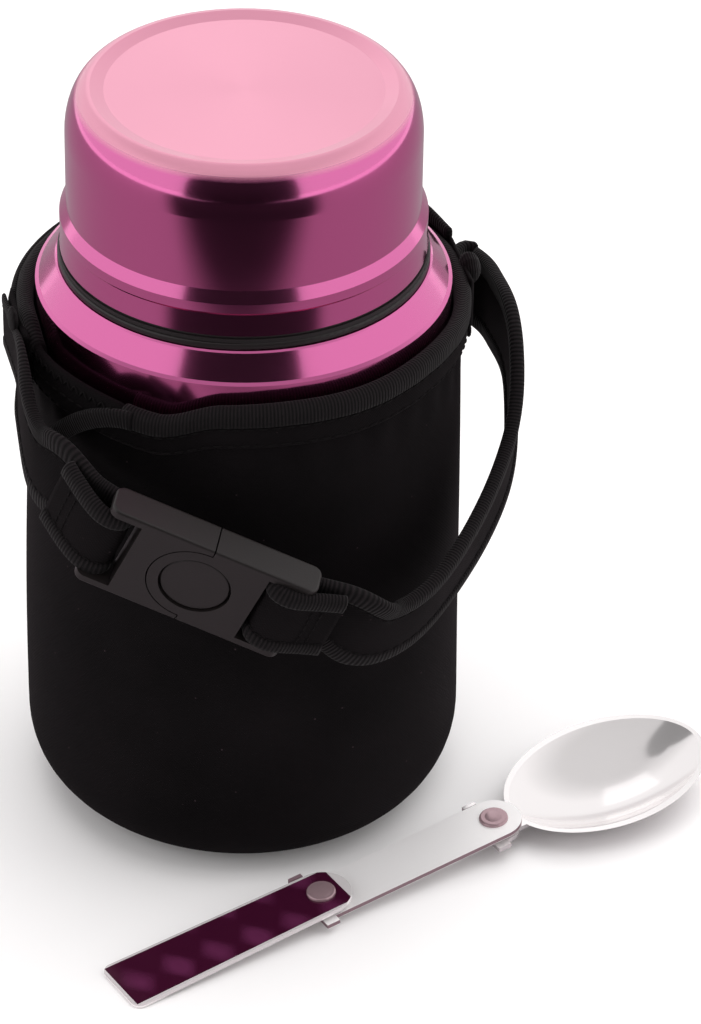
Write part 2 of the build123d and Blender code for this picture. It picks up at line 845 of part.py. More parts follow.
with BuildPart() as buckle_plug:
    with BuildSketch(buckle_frame.offset(-half_depth)):
        with Locations((-left_body_end / 2, 0)):
            Rectangle(left_body_end, inner_width)
    extrude(amount=buckle_depth)
    add(plug_frame)
    with BuildSketch(buckle_frame.offset(-half_depth - overrun)):
        Circle(nest_radius + nest_gap)
        with Locations((left_body_end / 2, 0)):
            Rectangle(left_body_end, 2 * (nest_radius + nest_gap))
    extrude(amount=buckle_depth + 2 * overrun, mode=Mode.SUBTRACT)
    with BuildSketch(buckle_frame.offset(prong_gap - cavity_floor)):
        with Locations((0, prong_mid), (0, -prong_mid)):
            Rectangle(2 * prong_end, prong_width)
    extrude(amount=cavity_floor + cavity_roof - seat_gap - push_travel - 2 * prong_gap)
buckle_plug.part.label = "buckle_plug"
export_step(buckle_plug.part, "parts/buckle_plug.step")

cavity_start = nest_radius + overrun
cavity_end = prong_end + prong_gap
with BuildPart() as buckle_socket:
    with BuildSketch(buckle_frame.offset(-half_depth)):
        Circle(nest_radius)
        with Locations((right_body_end / 2, 0)):
            Rectangle(right_body_end, 2 * nest_radius)
        with Locations(((right_body_end + nest_gap) / 2, 0)):
            Rectangle(right_body_end - nest_gap, inner_width)
    extrude(amount=buckle_depth)
    add(socket_frame)
    with BuildSketch(buckle_frame.offset(-cavity_floor)):
        with Locations(((cavity_end - cavity_start) / 2, 0)):
            Rectangle(cavity_end + cavity_start, cavity_width)
    extrude(amount=cavity_floor + cavity_roof, mode=Mode.SUBTRACT)
    with BuildSketch(buckle_frame):
        Circle(window_radius)
    extrude(amount=half_depth + overrun, mode=Mode.SUBTRACT)
buckle_socket.part.label = "buckle_socket"
export_step(buckle_socket.part, "parts/buckle_socket.step")

tongue_roof = cavity_roof - seat_gap
tongue_half = cavity_width / 2 - 2 * prong_gap - prong_width
with BuildPart() as buckle_button:
    with BuildSketch(buckle_frame.offset(tongue_roof - tongue_thick)):
        Rectangle(2 * tongue_reach, 2 * tongue_half)
    extrude(amount=tongue_thick)
    with BuildSketch(buckle_frame.offset(tongue_roof - tongue_thick)):
        Circle(tongue_half)
    extrude(amount=tongue_thick)
    with BuildSketch(buckle_frame.offset(tongue_roof)):
        Circle(push_radius)
    extrude(amount=push_top - tongue_roof)
    crown_edges = buckle_button.edges().filter_by(GeomType.CIRCLE)
    crown_axis = Axis(buckle_frame.origin, buckle_frame.z_dir)
    fillet(crown_edges.sort_by(crown_axis)[-1], push_crown)
buckle_button.part.label = "buckle_button"
export_step(buckle_button.part, "parts/buckle_button.step")

# Strap halves, each doubled back round its buckle bar and led to its anchor
fold_radius = bar_radius + free_gap + strap_thick / 2


# Loop of the strap round a bar, from its sewn end to the inner leg
def fold_points(bar, way, depth):
    loop = fold_radius * arc_share
    return [
        (bar + way * fold_length, depth["end"]),
        (bar + way * fold_step, depth["mid"]),
        (bar, fold_radius),
        (bar - way * loop, loop),
        (bar - way * fold_radius, 0),
        (bar - way * loop, -loop),
        (bar, -fold_radius),
        (bar + way * fold_step, depth["leg_mid"]),
        (bar + way * fold_length, depth["leg_end"]),
    ]


# Sweep one strap along its fold and its run to the anchor, with the tack hole
def strap(name, fold, run, side):
    lead = [buckle_frame.from_local_coords((x, 0, z)) for x, z in fold]
    tail = [strap_frame.from_local_coords(point) for point in run]
    points = lead + tail
    up = Vector(0, 0, 1)
    turning = len(tail) - len(strap_end_shares)
    guide = []
    for index, point in enumerate(points):
        share = min(1, max(0, (index - len(lead) + 1) / turning))
        guide.append(point + (buckle_frame.y_dir * (1 - share) + up * share) * guide_rise)
    with BuildLine() as path:
        Spline(*points)
    with BuildLine() as aux:
        Spline(*guide)
    line = path.wires()[0]
    with BuildPart() as band:
        start = Plane(line @ 0, x_dir=guide[0] - points[0], z_dir=line % 0)
        with BuildSketch(start):
            RectangleRounded(strap_width, strap_thick, strap_edge_round)
        sweep(path=line, binormal=aux.wires()[0])
        hole_plane = Plane(
            origin=strap_frame.from_local_coords((side * strap_side, 0, pivot_height)),
            z_dir=strap_frame.x_dir,
        )
        with BuildSketch(hole_plane):
            Circle(tack_radius + pin_gap)
        extrude(amount=strap_thick + overrun / 2, both=True, mode=Mode.SUBTRACT)
    band.part.label = name
    export_step(band.part, "parts/" + name + ".step")
    return band


short_run = [strap_place(shares) for shares in short_run_shares] + [
    (-strap_side, -strap_end_length * step, strap_end_height) for step in strap_end_shares
]
long_run = [strap_place(shares) for shares in long_run_shares]
long_end = [(strap_side, strap_end_length * step, strap_end_height) for step in strap_end_shares]
strap_short = strap("strap_short", fold_points(-left_bar, -1, left_fold), short_run, -1)
strap_long = strap("strap_long", fold_points(right_bar, 1, right_fold), long_run + long_end, 1)

# Spoon frame: tilted so that it lies on its bowl and on its handle end
link_level = washer_thick + seat_gap
handle_level = link_level + sheet + washer_thick + seat_gap
tilt = math.atan2(handle_level + bowl_depth, bowl_low)
spoon_turn = math.radians(spoon_heading)
axis_dir = Vector(
    math.cos(spoon_turn) * math.cos(tilt),
    math.sin(spoon_turn) * math.cos(tilt),
    math.sin(tilt),
)
normal_dir = Vector(
    -math.cos(spoon_turn) * math.sin(tilt),
    -math.sin(spoon_turn) * math.sin(tilt),
    math.cos(tilt),
)
floor_rise = bowl_depth * (1 - math.cos(tilt)) + seat_gap
spoon_frame = Plane(
    origin=(spoon_place[0], spoon_place[1], floor_rise - handle_level * math.cos(tilt)),
    x_dir=axis_dir,
    z_dir=normal_dir,
)
spoon_side_plane = Plane(origin=spoon_frame.origin, x_dir=axis_dir, z_dir=-spoon_frame.y_dir)

barrel_height = (bowl_half_width**2 - bowl_depth**2) / (2 * bowl_depth)
with BuildPart() as bowl_core:
    with BuildSketch(spoon_side_plane) as core_profile:
        with BuildLine():
            core_arc = ThreePointArc(
                (bowl_start + sheet, 0),
                (bowl_low, sheet - bowl_depth),
                (spoon_length - sheet, 0),
            )
            Polyline(
                core_arc @ 1,
                (spoon_length - sheet, barrel_height),
                (bowl_start + sheet, barrel_height),
                core_arc @ 0,
            )
        make_face()
    barrel_axis = Axis(
        spoon_side_plane.from_local_coords((0, barrel_height, 0)), spoon_side_plane.x_dir
    )
    revolve(axis=barrel_axis)

with BuildPart() as spoon_bowl:
    with BuildSketch(spoon_side_plane) as bowl_profile:
        with BuildLine():
            bowl_arc = ThreePointArc(
                (bowl_start, 0), (bowl_low, -bowl_depth), (spoon_length, 0)
            )
            Polyline(
                bowl_arc @ 1,
                (spoon_length, barrel_height),
                (bowl_start, barrel_height),
                bowl_arc @ 0,
            )
        make_face()
    revolve(axis=barrel_axis)
    split(bisect_by=spoon_frame, keep=Keep.BOTTOM)
    with BuildSketch(spoon_frame.offset(-sheet)) as tang_sketch:
        with Locations((rivet_bowl, 0)):
            Circle(tang_radius)
        with Locations((rivet_bowl + (bowl_start + tang_reach - rivet_bowl) / 2, 0)):
            Rectangle(bowl_start + tang_reach - rivet_bowl, neck_width)
    extrude(amount=sheet)
    add(bowl_core.part, mode=Mode.SUBTRACT)
    with BuildSketch(spoon_frame.offset(-sheet)) as bowl_ears:
        with Locations((rivet_bowl - ear_offset, 0)):
            Rectangle(ear_length, link_width + 2 * plate_gap + 2 * ear_wall)
    extrude(amount=sheet)
    with BuildSketch(spoon_frame) as bowl_stop:
        with Locations((rivet_bowl - ear_offset, (link_width + ear_wall) / 2 + plate_gap)):
            Rectangle(ear_length, ear_wall)
    extrude(amount=link_level + sheet)
    with BuildSketch(spoon_frame.offset(-sheet - overrun)):
        with Locations((rivet_bowl, 0)):
            Circle(rivet_radius + pin_gap)
    extrude(amount=sheet + 2 * overrun, mode=Mode.SUBTRACT)
spoon_bowl.part.label = "spoon_bowl"
export_step(spoon_bowl.part, "parts/spoon_bowl.step")

link_span = rivet_bowl - rivet_handle
with BuildPart() as spoon_link:
    with BuildSketch(spoon_frame.offset(link_level)):
        with Locations((rivet_handle + link_span / 2, 0)):
            SlotCenterToCenter(link_span, link_width)
        with Locations((rivet_handle - ear_offset, 0)):
            Rectangle(ear_length, handle_neck_width + 2 * ear_gap + 2 * ear_wall)
    extrude(amount=sheet)
    with BuildSketch(spoon_frame.offset(link_level)) as link_stop:
        with Locations((rivet_handle - ear_offset, (handle_neck_width + ear_wall) / 2 + ear_gap)):
            Rectangle(ear_length, ear_wall)
    extrude(amount=handle_level + sheet - link_level)
    with BuildSketch(spoon_frame.offset(link_level - overrun)):
        with Locations((rivet_handle, 0), (rivet_bowl, 0)):
            Circle(rivet_radius + pin_gap)
    extrude(amount=sheet + 2 * overrun, mode=Mode.SUBTRACT)
spoon_link.part.label = "spoon_link"
export_step(spoon_link.part, "parts/spoon_link.step")

with BuildPart() as spoon_handle:
    with BuildSketch(spoon_frame.offset(handle_level)) as handle_sketch:
        with BuildLine():
            Polyline(
                (0, -handle_end_width / 2),
                (rivet_handle, -handle_neck_width / 2),
                (rivet_handle, handle_neck_width / 2),
                (0, handle_end_width / 2),
                (0, -handle_end_width / 2),
            )
        make_face()
        fillet(handle_sketch.vertices().sort_by(Axis.X)[:2], handle_corner)
        with Locations((rivet_handle, 0)):
            Circle(handle_neck_width / 2)
    extrude(amount=sheet)
    with BuildSketch(spoon_frame.offset(handle_level - overrun)):
        with Locations((rivet_handle, 0)):
            Circle(rivet_radius + pin_gap)
    extrude(amount=sheet + 2 * overrun, mode=Mode.SUBTRACT)
spoon_handle.part.label = "spoon_handle"
export_step(spoon_handle.part, "parts/spoon_handle.step")

with BuildPart() as spoon_washers:
    for place, level in ((rivet_bowl, seat_gap), (rivet_handle, link_level + sheet)):
        with BuildSketch(spoon_frame.offset(level)):
            with Locations((place, 0)):
                Circle(washer_radius)
                Circle(rivet_radius + pin_gap, mode=Mode.SUBTRACT)
        extrude(amount=washer_thick)
spoon_washers.part.label = "spoon_washers"
export_step(spoon_washers.part, "parts/spoon_washers.step")

bowl_rivet_low = -sheet - seat_gap
bowl_rivet_high = link_level + sheet
handle_rivet_low = link_level
handle_rivet_high = handle_level + sheet + seat_gap
with BuildPart() as spoon_rivets:
    for place, low, high in (
        (rivet_bowl, bowl_rivet_low, bowl_rivet_high),
        (rivet_handle, handle_rivet_low, handle_rivet_high),
    ):
        with BuildSketch(spoon_frame.offset(low - rivet_head_thick / 2)):
            with Locations((place, 0)):
                Circle(rivet_head_radius)
        extrude(amount=rivet_head_thick / 2)
        with BuildSketch(spoon_frame.offset(low)):
            with Locations((place, 0)):
                Circle(rivet_radius)
        extrude(amount=high - low)
        with BuildSketch(spoon_frame.offset(high)):
            with Locations((place, 0)):
                Circle(rivet_head_radius)
        extrude(amount=rivet_head_thick)
        head_edges = spoon_rivets.edges().filter_by(GeomType.CIRCLE)
        head_axis = Axis(spoon_frame.from_local_coords((place, 0, 0)), normal_dir)
        near = [
            edge
            for edge in head_edges
            if abs(spoon_frame.to_local_coords(edge.arc_center).X - place) < rivet_radius
        ]
        fillet(ShapeList(near).sort_by(head_axis)[-1], rivet_head_thick * lug_tip_share)
spoon_rivets.part.label = "spoon_rivets"
export_step(spoon_rivets.part, "parts/spoon_rivets.step")
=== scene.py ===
import bmesh
import bpy
import math
import numpy as np
from mathutils import Matrix, Vector


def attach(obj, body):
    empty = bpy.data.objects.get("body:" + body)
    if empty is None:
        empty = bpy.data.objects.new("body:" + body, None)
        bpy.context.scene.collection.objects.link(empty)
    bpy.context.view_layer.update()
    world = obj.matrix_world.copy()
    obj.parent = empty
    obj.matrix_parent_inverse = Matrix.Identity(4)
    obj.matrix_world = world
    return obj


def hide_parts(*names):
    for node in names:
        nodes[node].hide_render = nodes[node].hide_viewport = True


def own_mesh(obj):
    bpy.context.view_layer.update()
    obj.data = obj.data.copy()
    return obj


# Food jar in its sleeve with strap and folding spoon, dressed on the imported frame.
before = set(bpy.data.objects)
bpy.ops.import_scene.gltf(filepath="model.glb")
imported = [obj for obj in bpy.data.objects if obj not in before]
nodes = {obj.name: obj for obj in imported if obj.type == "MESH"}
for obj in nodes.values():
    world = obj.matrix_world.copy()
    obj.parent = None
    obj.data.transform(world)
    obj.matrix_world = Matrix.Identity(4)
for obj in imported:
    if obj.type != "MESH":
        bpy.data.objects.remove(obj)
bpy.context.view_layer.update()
mm = 0.001
print("frame loaded:", len(nodes), "nodes")

# Camera at the photograph's viewing angle
photoCamera = {
    "focalPx": 5000, "tilt": 34.5, "roll": 1.0, "depth": 1226.7,
    "aim": (0, 0, 94.5), "aimPx": (243.4, 445.3), "imagePx": (701, 1024), "sensor": 36,
}


def makeCamera(c):
    tilt, roll = math.radians(c["tilt"]), math.radians(c["roll"])
    forward = Vector((0, math.cos(tilt), -math.sin(tilt)))
    level = Vector((1, 0, 0))
    rise = level.cross(forward)
    right = level * math.cos(roll) + rise * math.sin(roll)
    up = rise * math.cos(roll) - level * math.sin(roll)
    side = (c["aimPx"][0] - c["imagePx"][0] / 2) / c["focalPx"] * c["depth"]
    lift = (c["imagePx"][1] / 2 - c["aimPx"][1]) / c["focalPx"] * c["depth"]
    place = (Vector(c["aim"]) - right * side - up * lift - forward * c["depth"]) * mm
    data = bpy.data.cameras.new("photoCamera")
    data.sensor_width = c["sensor"]
    data.lens = c["focalPx"] * c["sensor"] / c["imagePx"][1]
    data.clip_end = 30
    camera = bpy.data.objects.new("photoCamera", data)
    bpy.context.scene.collection.objects.link(camera)
    turn = Matrix((right, up, -forward)).transposed().to_4x4()
    camera.matrix_world = Matrix.Translation(place) @ turn
    bpy.context.scene.camera = camera


makeCamera(photoCamera)
print("camera set")


# sRGB hex to linear colour
def toLinear(code):
    parts = [int(code[i:i + 2], 16) / 255 for i in (1, 3, 5)]
    return [c / 12.92 if c <= 0.04045 else ((c + 0.055) / 1.055) ** 2.4 for c in parts] + [1.0]


# One node with its settings and links; a key is a socket name, a socket number or a property, a node given
# for a link stands for its first output, and that of the new node goes into the socket named last
def addNode(tree, kind, settings=None, links=None, into=None):
    node = tree.nodes.new(kind)
    for key, value in (settings or {}).items():
        if isinstance(key, int) or key in node.inputs:
            node.inputs[key].default_value = value
        else:
            setattr(node, key, value)
    for key, source in (links or {}).items():
        tree.links.new(getattr(source, "outputs", [source])[0], node.inputs[key])
    if into:
        tree.links.new(node.outputs[0], into)
    return node


def newMaterial(name, settings):
    material = bpy.data.materials.new(name)
    material.use_nodes = True
    tree = material.node_tree
    shader = tree.nodes["Principled BSDF"]
    for key, value in settings.items():
        shader.inputs[key].default_value = value
    coords = addNode(tree, "ShaderNodeTexCoord")
    return material, tree, shader, coords.outputs


# Colour stops on a ramp
def setRamp(node, stops):
    ramp = node.color_ramp
    while len(ramp.elements) < len(stops):
        ramp.elements.new(0.5)
    for element, (place, colour) in zip(ramp.elements, stops):
        element.position = place
        element.color = colour


# A value that drifts between low and high in patches of about the given size
def patchyValue(tree, objectCoords, size, detail, low, high, into=None):
    noise = addNode(tree, "ShaderNodeTexNoise", {"Scale": 1 / size, "Detail": detail}, {"Vector": objectCoords})
    return addNode(tree, "ShaderNodeMapRange", {"To Min": low, "To Max": high}, {"Value": noise}, into)


# Spun steel carries fine rings around the jar's axis; returns a noise node that is even around it
def spunRings(tree, objectCoords, pitch):
    split = addNode(tree, "ShaderNodeSeparateXYZ", links={0: objectCoords})
    flat = addNode(tree, "ShaderNodeCombineXYZ", links={0: split.outputs[0], 1: split.outputs[1]})
    radius = addNode(tree, "ShaderNodeVectorMath", {"operation": "LENGTH"}, {0: flat})
    rings = addNode(tree, "ShaderNodeCombineXYZ", links={0: radius.outputs["Value"], 1: split.outputs[2]})
    return addNode(tree, "ShaderNodeTexNoise", {"Scale": 1 / pitch, "Detail": 3.0}, {"Vector": rings})


# Pink lacquer over spun steel: a clear tinted coat with sharp reflections on the sides; the flat top is brushed in
# rings and scatters part of its light, and its paler colour and lower metallic are a painted sheen that stands in for
# the bright reflection on it
lacquer = {"colour": "#e673b1", "topPaintedSheenColour": "#e398b0", "topFrom": 192.9 * mm, "topTo": 194.3 * mm,
           "topMetal": 0.62, "ringPitch": 0.9 * mm, "ringDepth": (0.02, 0.10), "mottle": 14 * mm,
           "rough": (0.11, 0.16), "topRough": 0.17}
lacquerPink, tree, shader, coords = newMaterial("lacqueredSteelPink", {
    "Anisotropic": 0.6, "Coat Weight": 0.5, "Coat Roughness": 0.05,
})
split = addNode(tree, "ShaderNodeSeparateXYZ", links={0: coords["Object"]})
onTop = addNode(tree, "ShaderNodeMapRange", {"From Min": lacquer["topFrom"], "From Max": lacquer["topTo"]},
                {"Value": split.outputs[2]})
# Paler colour on the top: painted sheen, not a different lacquer
tint = addNode(tree, "ShaderNodeMix", {
    "data_type": "RGBA", 6: toLinear(lacquer["colour"]), 7: toLinear(lacquer["topPaintedSheenColour"])}, {0: onTop})
tree.links.new(tint.outputs[2], shader.inputs["Base Color"])
addNode(tree, "ShaderNodeMapRange", {"To Min": 1.0, "To Max": lacquer["topMetal"]}, {"Value": onTop},
        shader.inputs["Metallic"])
addNode(tree, "ShaderNodeTangent", {"direction_type": "RADIAL", "axis": "Z"}, into=shader.inputs["Tangent"])
rings = spunRings(tree, coords["Object"], lacquer["ringPitch"])
depth = addNode(tree, "ShaderNodeMapRange", {"To Min": lacquer["ringDepth"][0], "To Max": lacquer["ringDepth"][1]},
                {"Value": onTop})
addNode(tree, "ShaderNodeBump", {"Distance": 0.05 * mm}, {"Height": rings, "Strength": depth}, shader.inputs["Normal"])
rough = patchyValue(tree, coords["Object"], lacquer["mottle"], 2.0, *lacquer["rough"])
addNode(tree, "ShaderNodeMath", {"operation": "MULTIPLY_ADD", 1: lacquer["topRough"]}, {0: onTop, 2: rough},
        shader.inputs["Roughness"])

# Stainless steel, satin from spinning
satinSteel, tree, shader, coords = newMaterial("stainlessSteelSatin", {
    "Base Color": toLinear("#c9c6c4"), "Metallic": 1.0, "Roughness": 0.32, "Anisotropic": 0.4,
})
rings = spunRings(tree, coords["Object"], 0.6 * mm)
addNode(tree, "ShaderNodeBump", {"Strength": 0.18, "Distance": 0.05 * mm}, {"Height": rings}, shader.inputs["Normal"])

# Stainless steel, polished after pressing: a mirror with the faint waves of pressed sheet; its near-white colour and
# lowered metallic are a painted reflection that stands in for the bright studio around it
polishedSteel, tree, shader, coords = newMaterial("stainlessSteelPolished", {
    "Base Color": toLinear("#f8f4f4"), "Metallic": 0.7,
})
waves = addNode(tree, "ShaderNodeTexNoise", {"Scale": 1 / (16 * mm), "Detail": 1.0}, {"Vector": coords["Object"]})
addNode(tree, "ShaderNodeBump", {"Strength": 0.10, "Distance": 0.6 * mm}, {"Height": waves}, shader.inputs["Normal"])
patchyValue(tree, coords["Object"], 1.2 * mm, 4.0, 0.09, 0.15, shader.inputs["Roughness"])

# Rivet steel, headed cold and only tumbled: warmer and duller than the sheet around it
rivetSteel, tree, shader, coords = newMaterial("stainlessSteelTumbled", {
    "Base Color": toLinear("#b0949a"), "Metallic": 0.55,
})
patchyValue(tree, coords["Object"], 0.9 * mm, 3.0, 0.16, 0.24, shader.inputs["Roughness"])

# Spoon frame, as in the CAD: s along the spoon, t across, h up from the bowl's rim
spoonFrame = {"place": (-26.9, -95.6, -3.2119), "heading": 33.5, "fall": (3.3 + 8.2, 141.0)}
spoonTilt = math.atan2(*spoonFrame["fall"])
spoonHeading = math.radians(spoonFrame["heading"])
spoonAlong = Vector((math.cos(spoonHeading) * math.cos(spoonTilt), math.sin(spoonHeading) * math.cos(spoonTilt),
                     math.sin(spoonTilt)))
spoonNormal = Vector((-math.cos(spoonHeading) * math.sin(spoonTilt), -math.sin(spoonHeading) * math.sin(spoonTilt),
                      math.cos(spoonTilt)))
spoonAcross = spoonNormal.cross(spoonAlong)
spoonOrigin = Vector(spoonFrame["place"]) * mm
spoonTurn = Matrix((spoonAlong, spoonAcross, spoonNormal)).to_euler()
print("spoon tilt", round(math.degrees(spoonTilt), 2))


# Object coordinates turned into the spoon's own s, t, h
def alongSpoon(tree, objectCoords):
    shifted = addNode(tree, "ShaderNodeVectorMath", {"operation": "SUBTRACT", 1: spoonOrigin}, {0: objectCoords})
    return addNode(tree, "ShaderNodeMapping", {"vector_type": "POINT", "Rotation": spoonTurn}, {"Vector": shifted})


# The link strip is brushed along its length and only then buffed, so it scatters what it mirrors; its near-white face
# is a painted reflection, and the darker colour on its sheared edges and ears is painted shade
link = {"face": "#f8f5f5", "edge": "#8f757d", "low": 1.05, "top": 2.25, "play": 0.08, "reach": 6.0}
brushedSteel, tree, shader, coords = newMaterial("stainlessSteelBuffed", {"Metallic": 0.35})
patchyValue(tree, coords["Object"], 0.8 * mm, 4.0, 0.36, 0.46, shader.inputs["Roughness"])
split = addNode(tree, "ShaderNodeSeparateXYZ", links={0: alongSpoon(tree, coords["Object"])})
level = addNode(tree, "ShaderNodeMapRange", {"From Max": link["reach"] * mm}, {"Value": split.outputs[2]})
# Ramp by height: near-white face as painted reflection, darker edges and ears as painted shade
shade = addNode(tree, "ShaderNodeValToRGB", links={0: level}, into=shader.inputs["Base Color"])
setRamp(shade, [(h / link["reach"], toLinear(link[part])) for h, part in (
    (0.0, "face"), (link["low"] + link["play"], "edge"),
    (link["top"] - link["play"], "face"), (link["top"] + link["play"], "edge"))])
shade.color_ramp.interpolation = "CONSTANT"

# Grip face of the handle: dark purple lacquer inside a bare steel rim, rippled by its shallow stamping; the lighter and
# darker facets in its colour are painted reflections
handle = {"top": 4.5, "play": 0.08, "length": 58.0, "neckWidth": 15.0, "endWidth": 17.0, "rim": 0.7, "faceEnd": 63.0,
          "slants": ((38, 15 * mm), (-33, 19 * mm)), "ripple": 12 * mm,
          "dark": "#47122f", "light": "#6d2c54", "steel": "#efe9ea"}
handleLacquer, tree, shader, coords = newMaterial("lacqueredSteelPurple", {
    "Metallic": 0.4, "Roughness": 0.18, "Coat Weight": 0.6, "Coat Roughness": 0.04,
})
turned = alongSpoon(tree, coords["Object"])
split = addNode(tree, "ShaderNodeSeparateXYZ", links={0: turned})
halfWidth = addNode(tree, "ShaderNodeMapRange", {
    "From Min": 0.0, "From Max": handle["length"] * mm,
    "To Min": (handle["endWidth"] / 2 - handle["rim"]) * mm,
    "To Max": (handle["neckWidth"] / 2 - handle["rim"]) * mm}, {"Value": split.outputs[0]})
across = addNode(tree, "ShaderNodeMath", {"operation": "ABSOLUTE"}, {0: split.outputs[1]})
inSide = addNode(tree, "ShaderNodeMath", {"operation": "LESS_THAN"}, {0: across, 1: halfWidth})
pastEnd = addNode(tree, "ShaderNodeMath", {"operation": "GREATER_THAN", 1: handle["rim"] * mm}, {0: split.outputs[0]})
inNeck = addNode(tree, "ShaderNodeMath", {"operation": "LESS_THAN", 1: handle["faceEnd"] * mm}, {0: split.outputs[0]})
both = addNode(tree, "ShaderNodeMath", {"operation": "MULTIPLY"}, {0: inSide, 1: pastEnd})
mask = addNode(tree, "ShaderNodeMath", {"operation": "MULTIPLY"}, {0: both, 1: inNeck})
isTop = addNode(tree, "ShaderNodeMath", {"operation": "GREATER_THAN", 1: (handle["top"] - handle["play"]) * mm},
                {0: split.outputs[2]})
onFace = addNode(tree, "ShaderNodeMath", {"operation": "MULTIPLY"}, {0: mask, 1: isTop})
slants = []
for slope, pitch in handle["slants"]:
    wave, lean = 2 * math.pi / pitch, math.radians(slope)
    turn = (math.cos(lean) * wave, math.sin(lean) * wave, 0.0)
    phase = addNode(tree, "ShaderNodeVectorMath", {"operation": "DOT_PRODUCT", 1: turn}, {0: turned})
    slants.append(addNode(tree, "ShaderNodeMath", {"operation": "SINE"}, {0: phase.outputs["Value"]}))
facetsAndPaintedGlints = addNode(tree, "ShaderNodeMath", {"operation": "MULTIPLY"}, {0: slants[0], 1: slants[1]})
ripple = addNode(tree, "ShaderNodeTexNoise", {"Scale": 1 / handle["ripple"], "Detail": 2.0}, {"Vector": turned})
paintedFacetGlints = addNode(tree, "ShaderNodeMath", {"operation": "MULTIPLY"}, {0: facetsAndPaintedGlints, 1: ripple})
# Lighter and darker facets: painted reflections on the lacquer
shade = addNode(tree, "ShaderNodeValToRGB", links={0: paintedFacetGlints})
setRamp(shade, [(0.0, toLinear(handle["dark"])), (0.5, toLinear(handle["light"]))])
tint = addNode(tree, "ShaderNodeMix", {"data_type": "RGBA", 6: toLinear(handle["steel"])}, {0: onFace, 7: shade})
tree.links.new(tint.outputs[2], shader.inputs["Base Color"])
addNode(tree, "ShaderNodeBump", {"Strength": 0.3, "Distance": 0.4 * mm}, {"Height": facetsAndPaintedGlints}, shader.inputs["Normal"])


# Moulded plastic: even colour with a spark-eroded grain of about the given pitch
def mouldedPlastic(name, colour, roughness, grain, depth):
    material, tree, shader, coords = newMaterial(name, {"Base Color": toLinear(colour)})
    noise = addNode(tree, "ShaderNodeTexNoise", {"Scale": 1 / grain, "Detail": 2.0}, {"Vector": coords["Object"]})
    addNode(tree, "ShaderNodeBump", {"Strength": depth, "Distance": 0.08 * mm}, {"Height": noise},
            shader.inputs["Normal"])
    patchyValue(tree, coords["Object"], 9 * mm, 3.0, roughness - 0.05, roughness + 0.06, shader.inputs["Roughness"])
    return material


# Grain is drawn at 0.4 mm, about twice the real one, so that it shows
acetalBlack = mouldedPlastic("acetalBlackMoulded", "#1c1818", 0.40, 0.4 * mm, 0.35)
polypropyleneBlack = mouldedPlastic("polypropyleneBlackMoulded", "#1b1617", 0.36, 0.5 * mm, 0.20)
polypropyleneGrey = mouldedPlastic("polypropyleneGreyMoulded", "#4a4648", 0.40, 0.5 * mm, 0.20)
foamWhite = mouldedPlastic("expandedFoamWhite", "#e6e2d8", 0.85, 2.2 * mm, 0.8)


# Silicone rubber: a dull skin, milky and slightly see-through where it isn't filled with black
def siliconeRubber(name, colour, milky):
    material, tree, shader, coords = newMaterial(name, {
        "Base Color": toLinear(colour), "Subsurface Weight": milky, "Subsurface Scale": 0.002})
    patchyValue(tree, coords["Object"], 0.8 * mm, 3.0, 0.38, 0.56, shader.inputs["Roughness"])
    return material


siliconeWhite = siliconeRubber("siliconeRubberWhite", "#dedad6", 0.2)
siliconeBlack = siliconeRubber("siliconeRubberBlack", "#1a1617", 0.0)

# Braze on the vacuum closure: dull yellow metal with a grainy face
brazeYellow, tree, shader, coords = newMaterial("brazeFillerYellow", {
    "Base Color": toLinear("#b08a4a"), "Metallic": 1.0, "Roughness": 0.5,
})
grain = addNode(tree, "ShaderNodeTexNoise", {"Scale": 1 / (0.5 * mm), "Detail": 4.0}, {"Vector": coords["Object"]})
addNode(tree, "ShaderNodeBump", {"Strength": 0.5, "Distance": 0.1 * mm}, {"Height": grain}, shader.inputs["Normal"])

# Neoprene with a knit face: matt black foam rubber, a fine jersey bump, a little lint, soft sheen.
# The knit is drawn at 0.9 mm, coarser than the real 0.4 mm, so that it shows.
knit = {"pitch": 0.9 * mm, "lint": 3.2 * mm, "colour": "#070506", "worn": "#0e0a0c", "lintColour": "#33292d"}
neopreneBlack, tree, shader, coords = newMaterial("neopreneKnitBlack", {
    "Roughness": 0.9, "Sheen Weight": 0.02, "Sheen Roughness": 0.5, "Sheen Tint": toLinear("#b8a4ac"),
    "Specular IOR Level": 0.12,
})
split = addNode(tree, "ShaderNodeSeparateXYZ", links={0: coords["UV"]})
loops = []
for k in range(2):
    turns = addNode(tree, "ShaderNodeMath", {"operation": "MULTIPLY", 1: 2 * math.pi / knit["pitch"]},
                    {0: split.outputs[k]})
    loops.append(addNode(tree, "ShaderNodeMath", {"operation": "SINE"}, {0: turns}))
weave = addNode(tree, "ShaderNodeMath", {"operation": "MULTIPLY"}, {0: loops[0], 1: loops[1]})
fuzz = addNode(tree, "ShaderNodeTexNoise", {"Scale": 1 / (1.6 * mm), "Detail": 5.0, "Roughness": 0.7},
               {"Vector": coords["Object"]})
height = addNode(tree, "ShaderNodeMath", {"operation": "MULTIPLY_ADD", 1: 0.5}, {0: weave, 2: fuzz})
addNode(tree, "ShaderNodeBump", {"Strength": 0.5, "Distance": 0.12 * mm}, {"Height": height}, shader.inputs["Normal"])
lint = addNode(tree, "ShaderNodeTexVoronoi", {"Scale": 1 / knit["lint"]}, {"Vector": coords["Object"]})
specks = addNode(tree, "ShaderNodeMapRange", {"From Min": 0.05, "From Max": 0.09, "To Min": 1.0, "To Max": 0.0},
                 {"Value": lint.outputs["Distance"]})
rare = addNode(tree, "ShaderNodeSeparateColor", links={0: lint.outputs["Color"]})
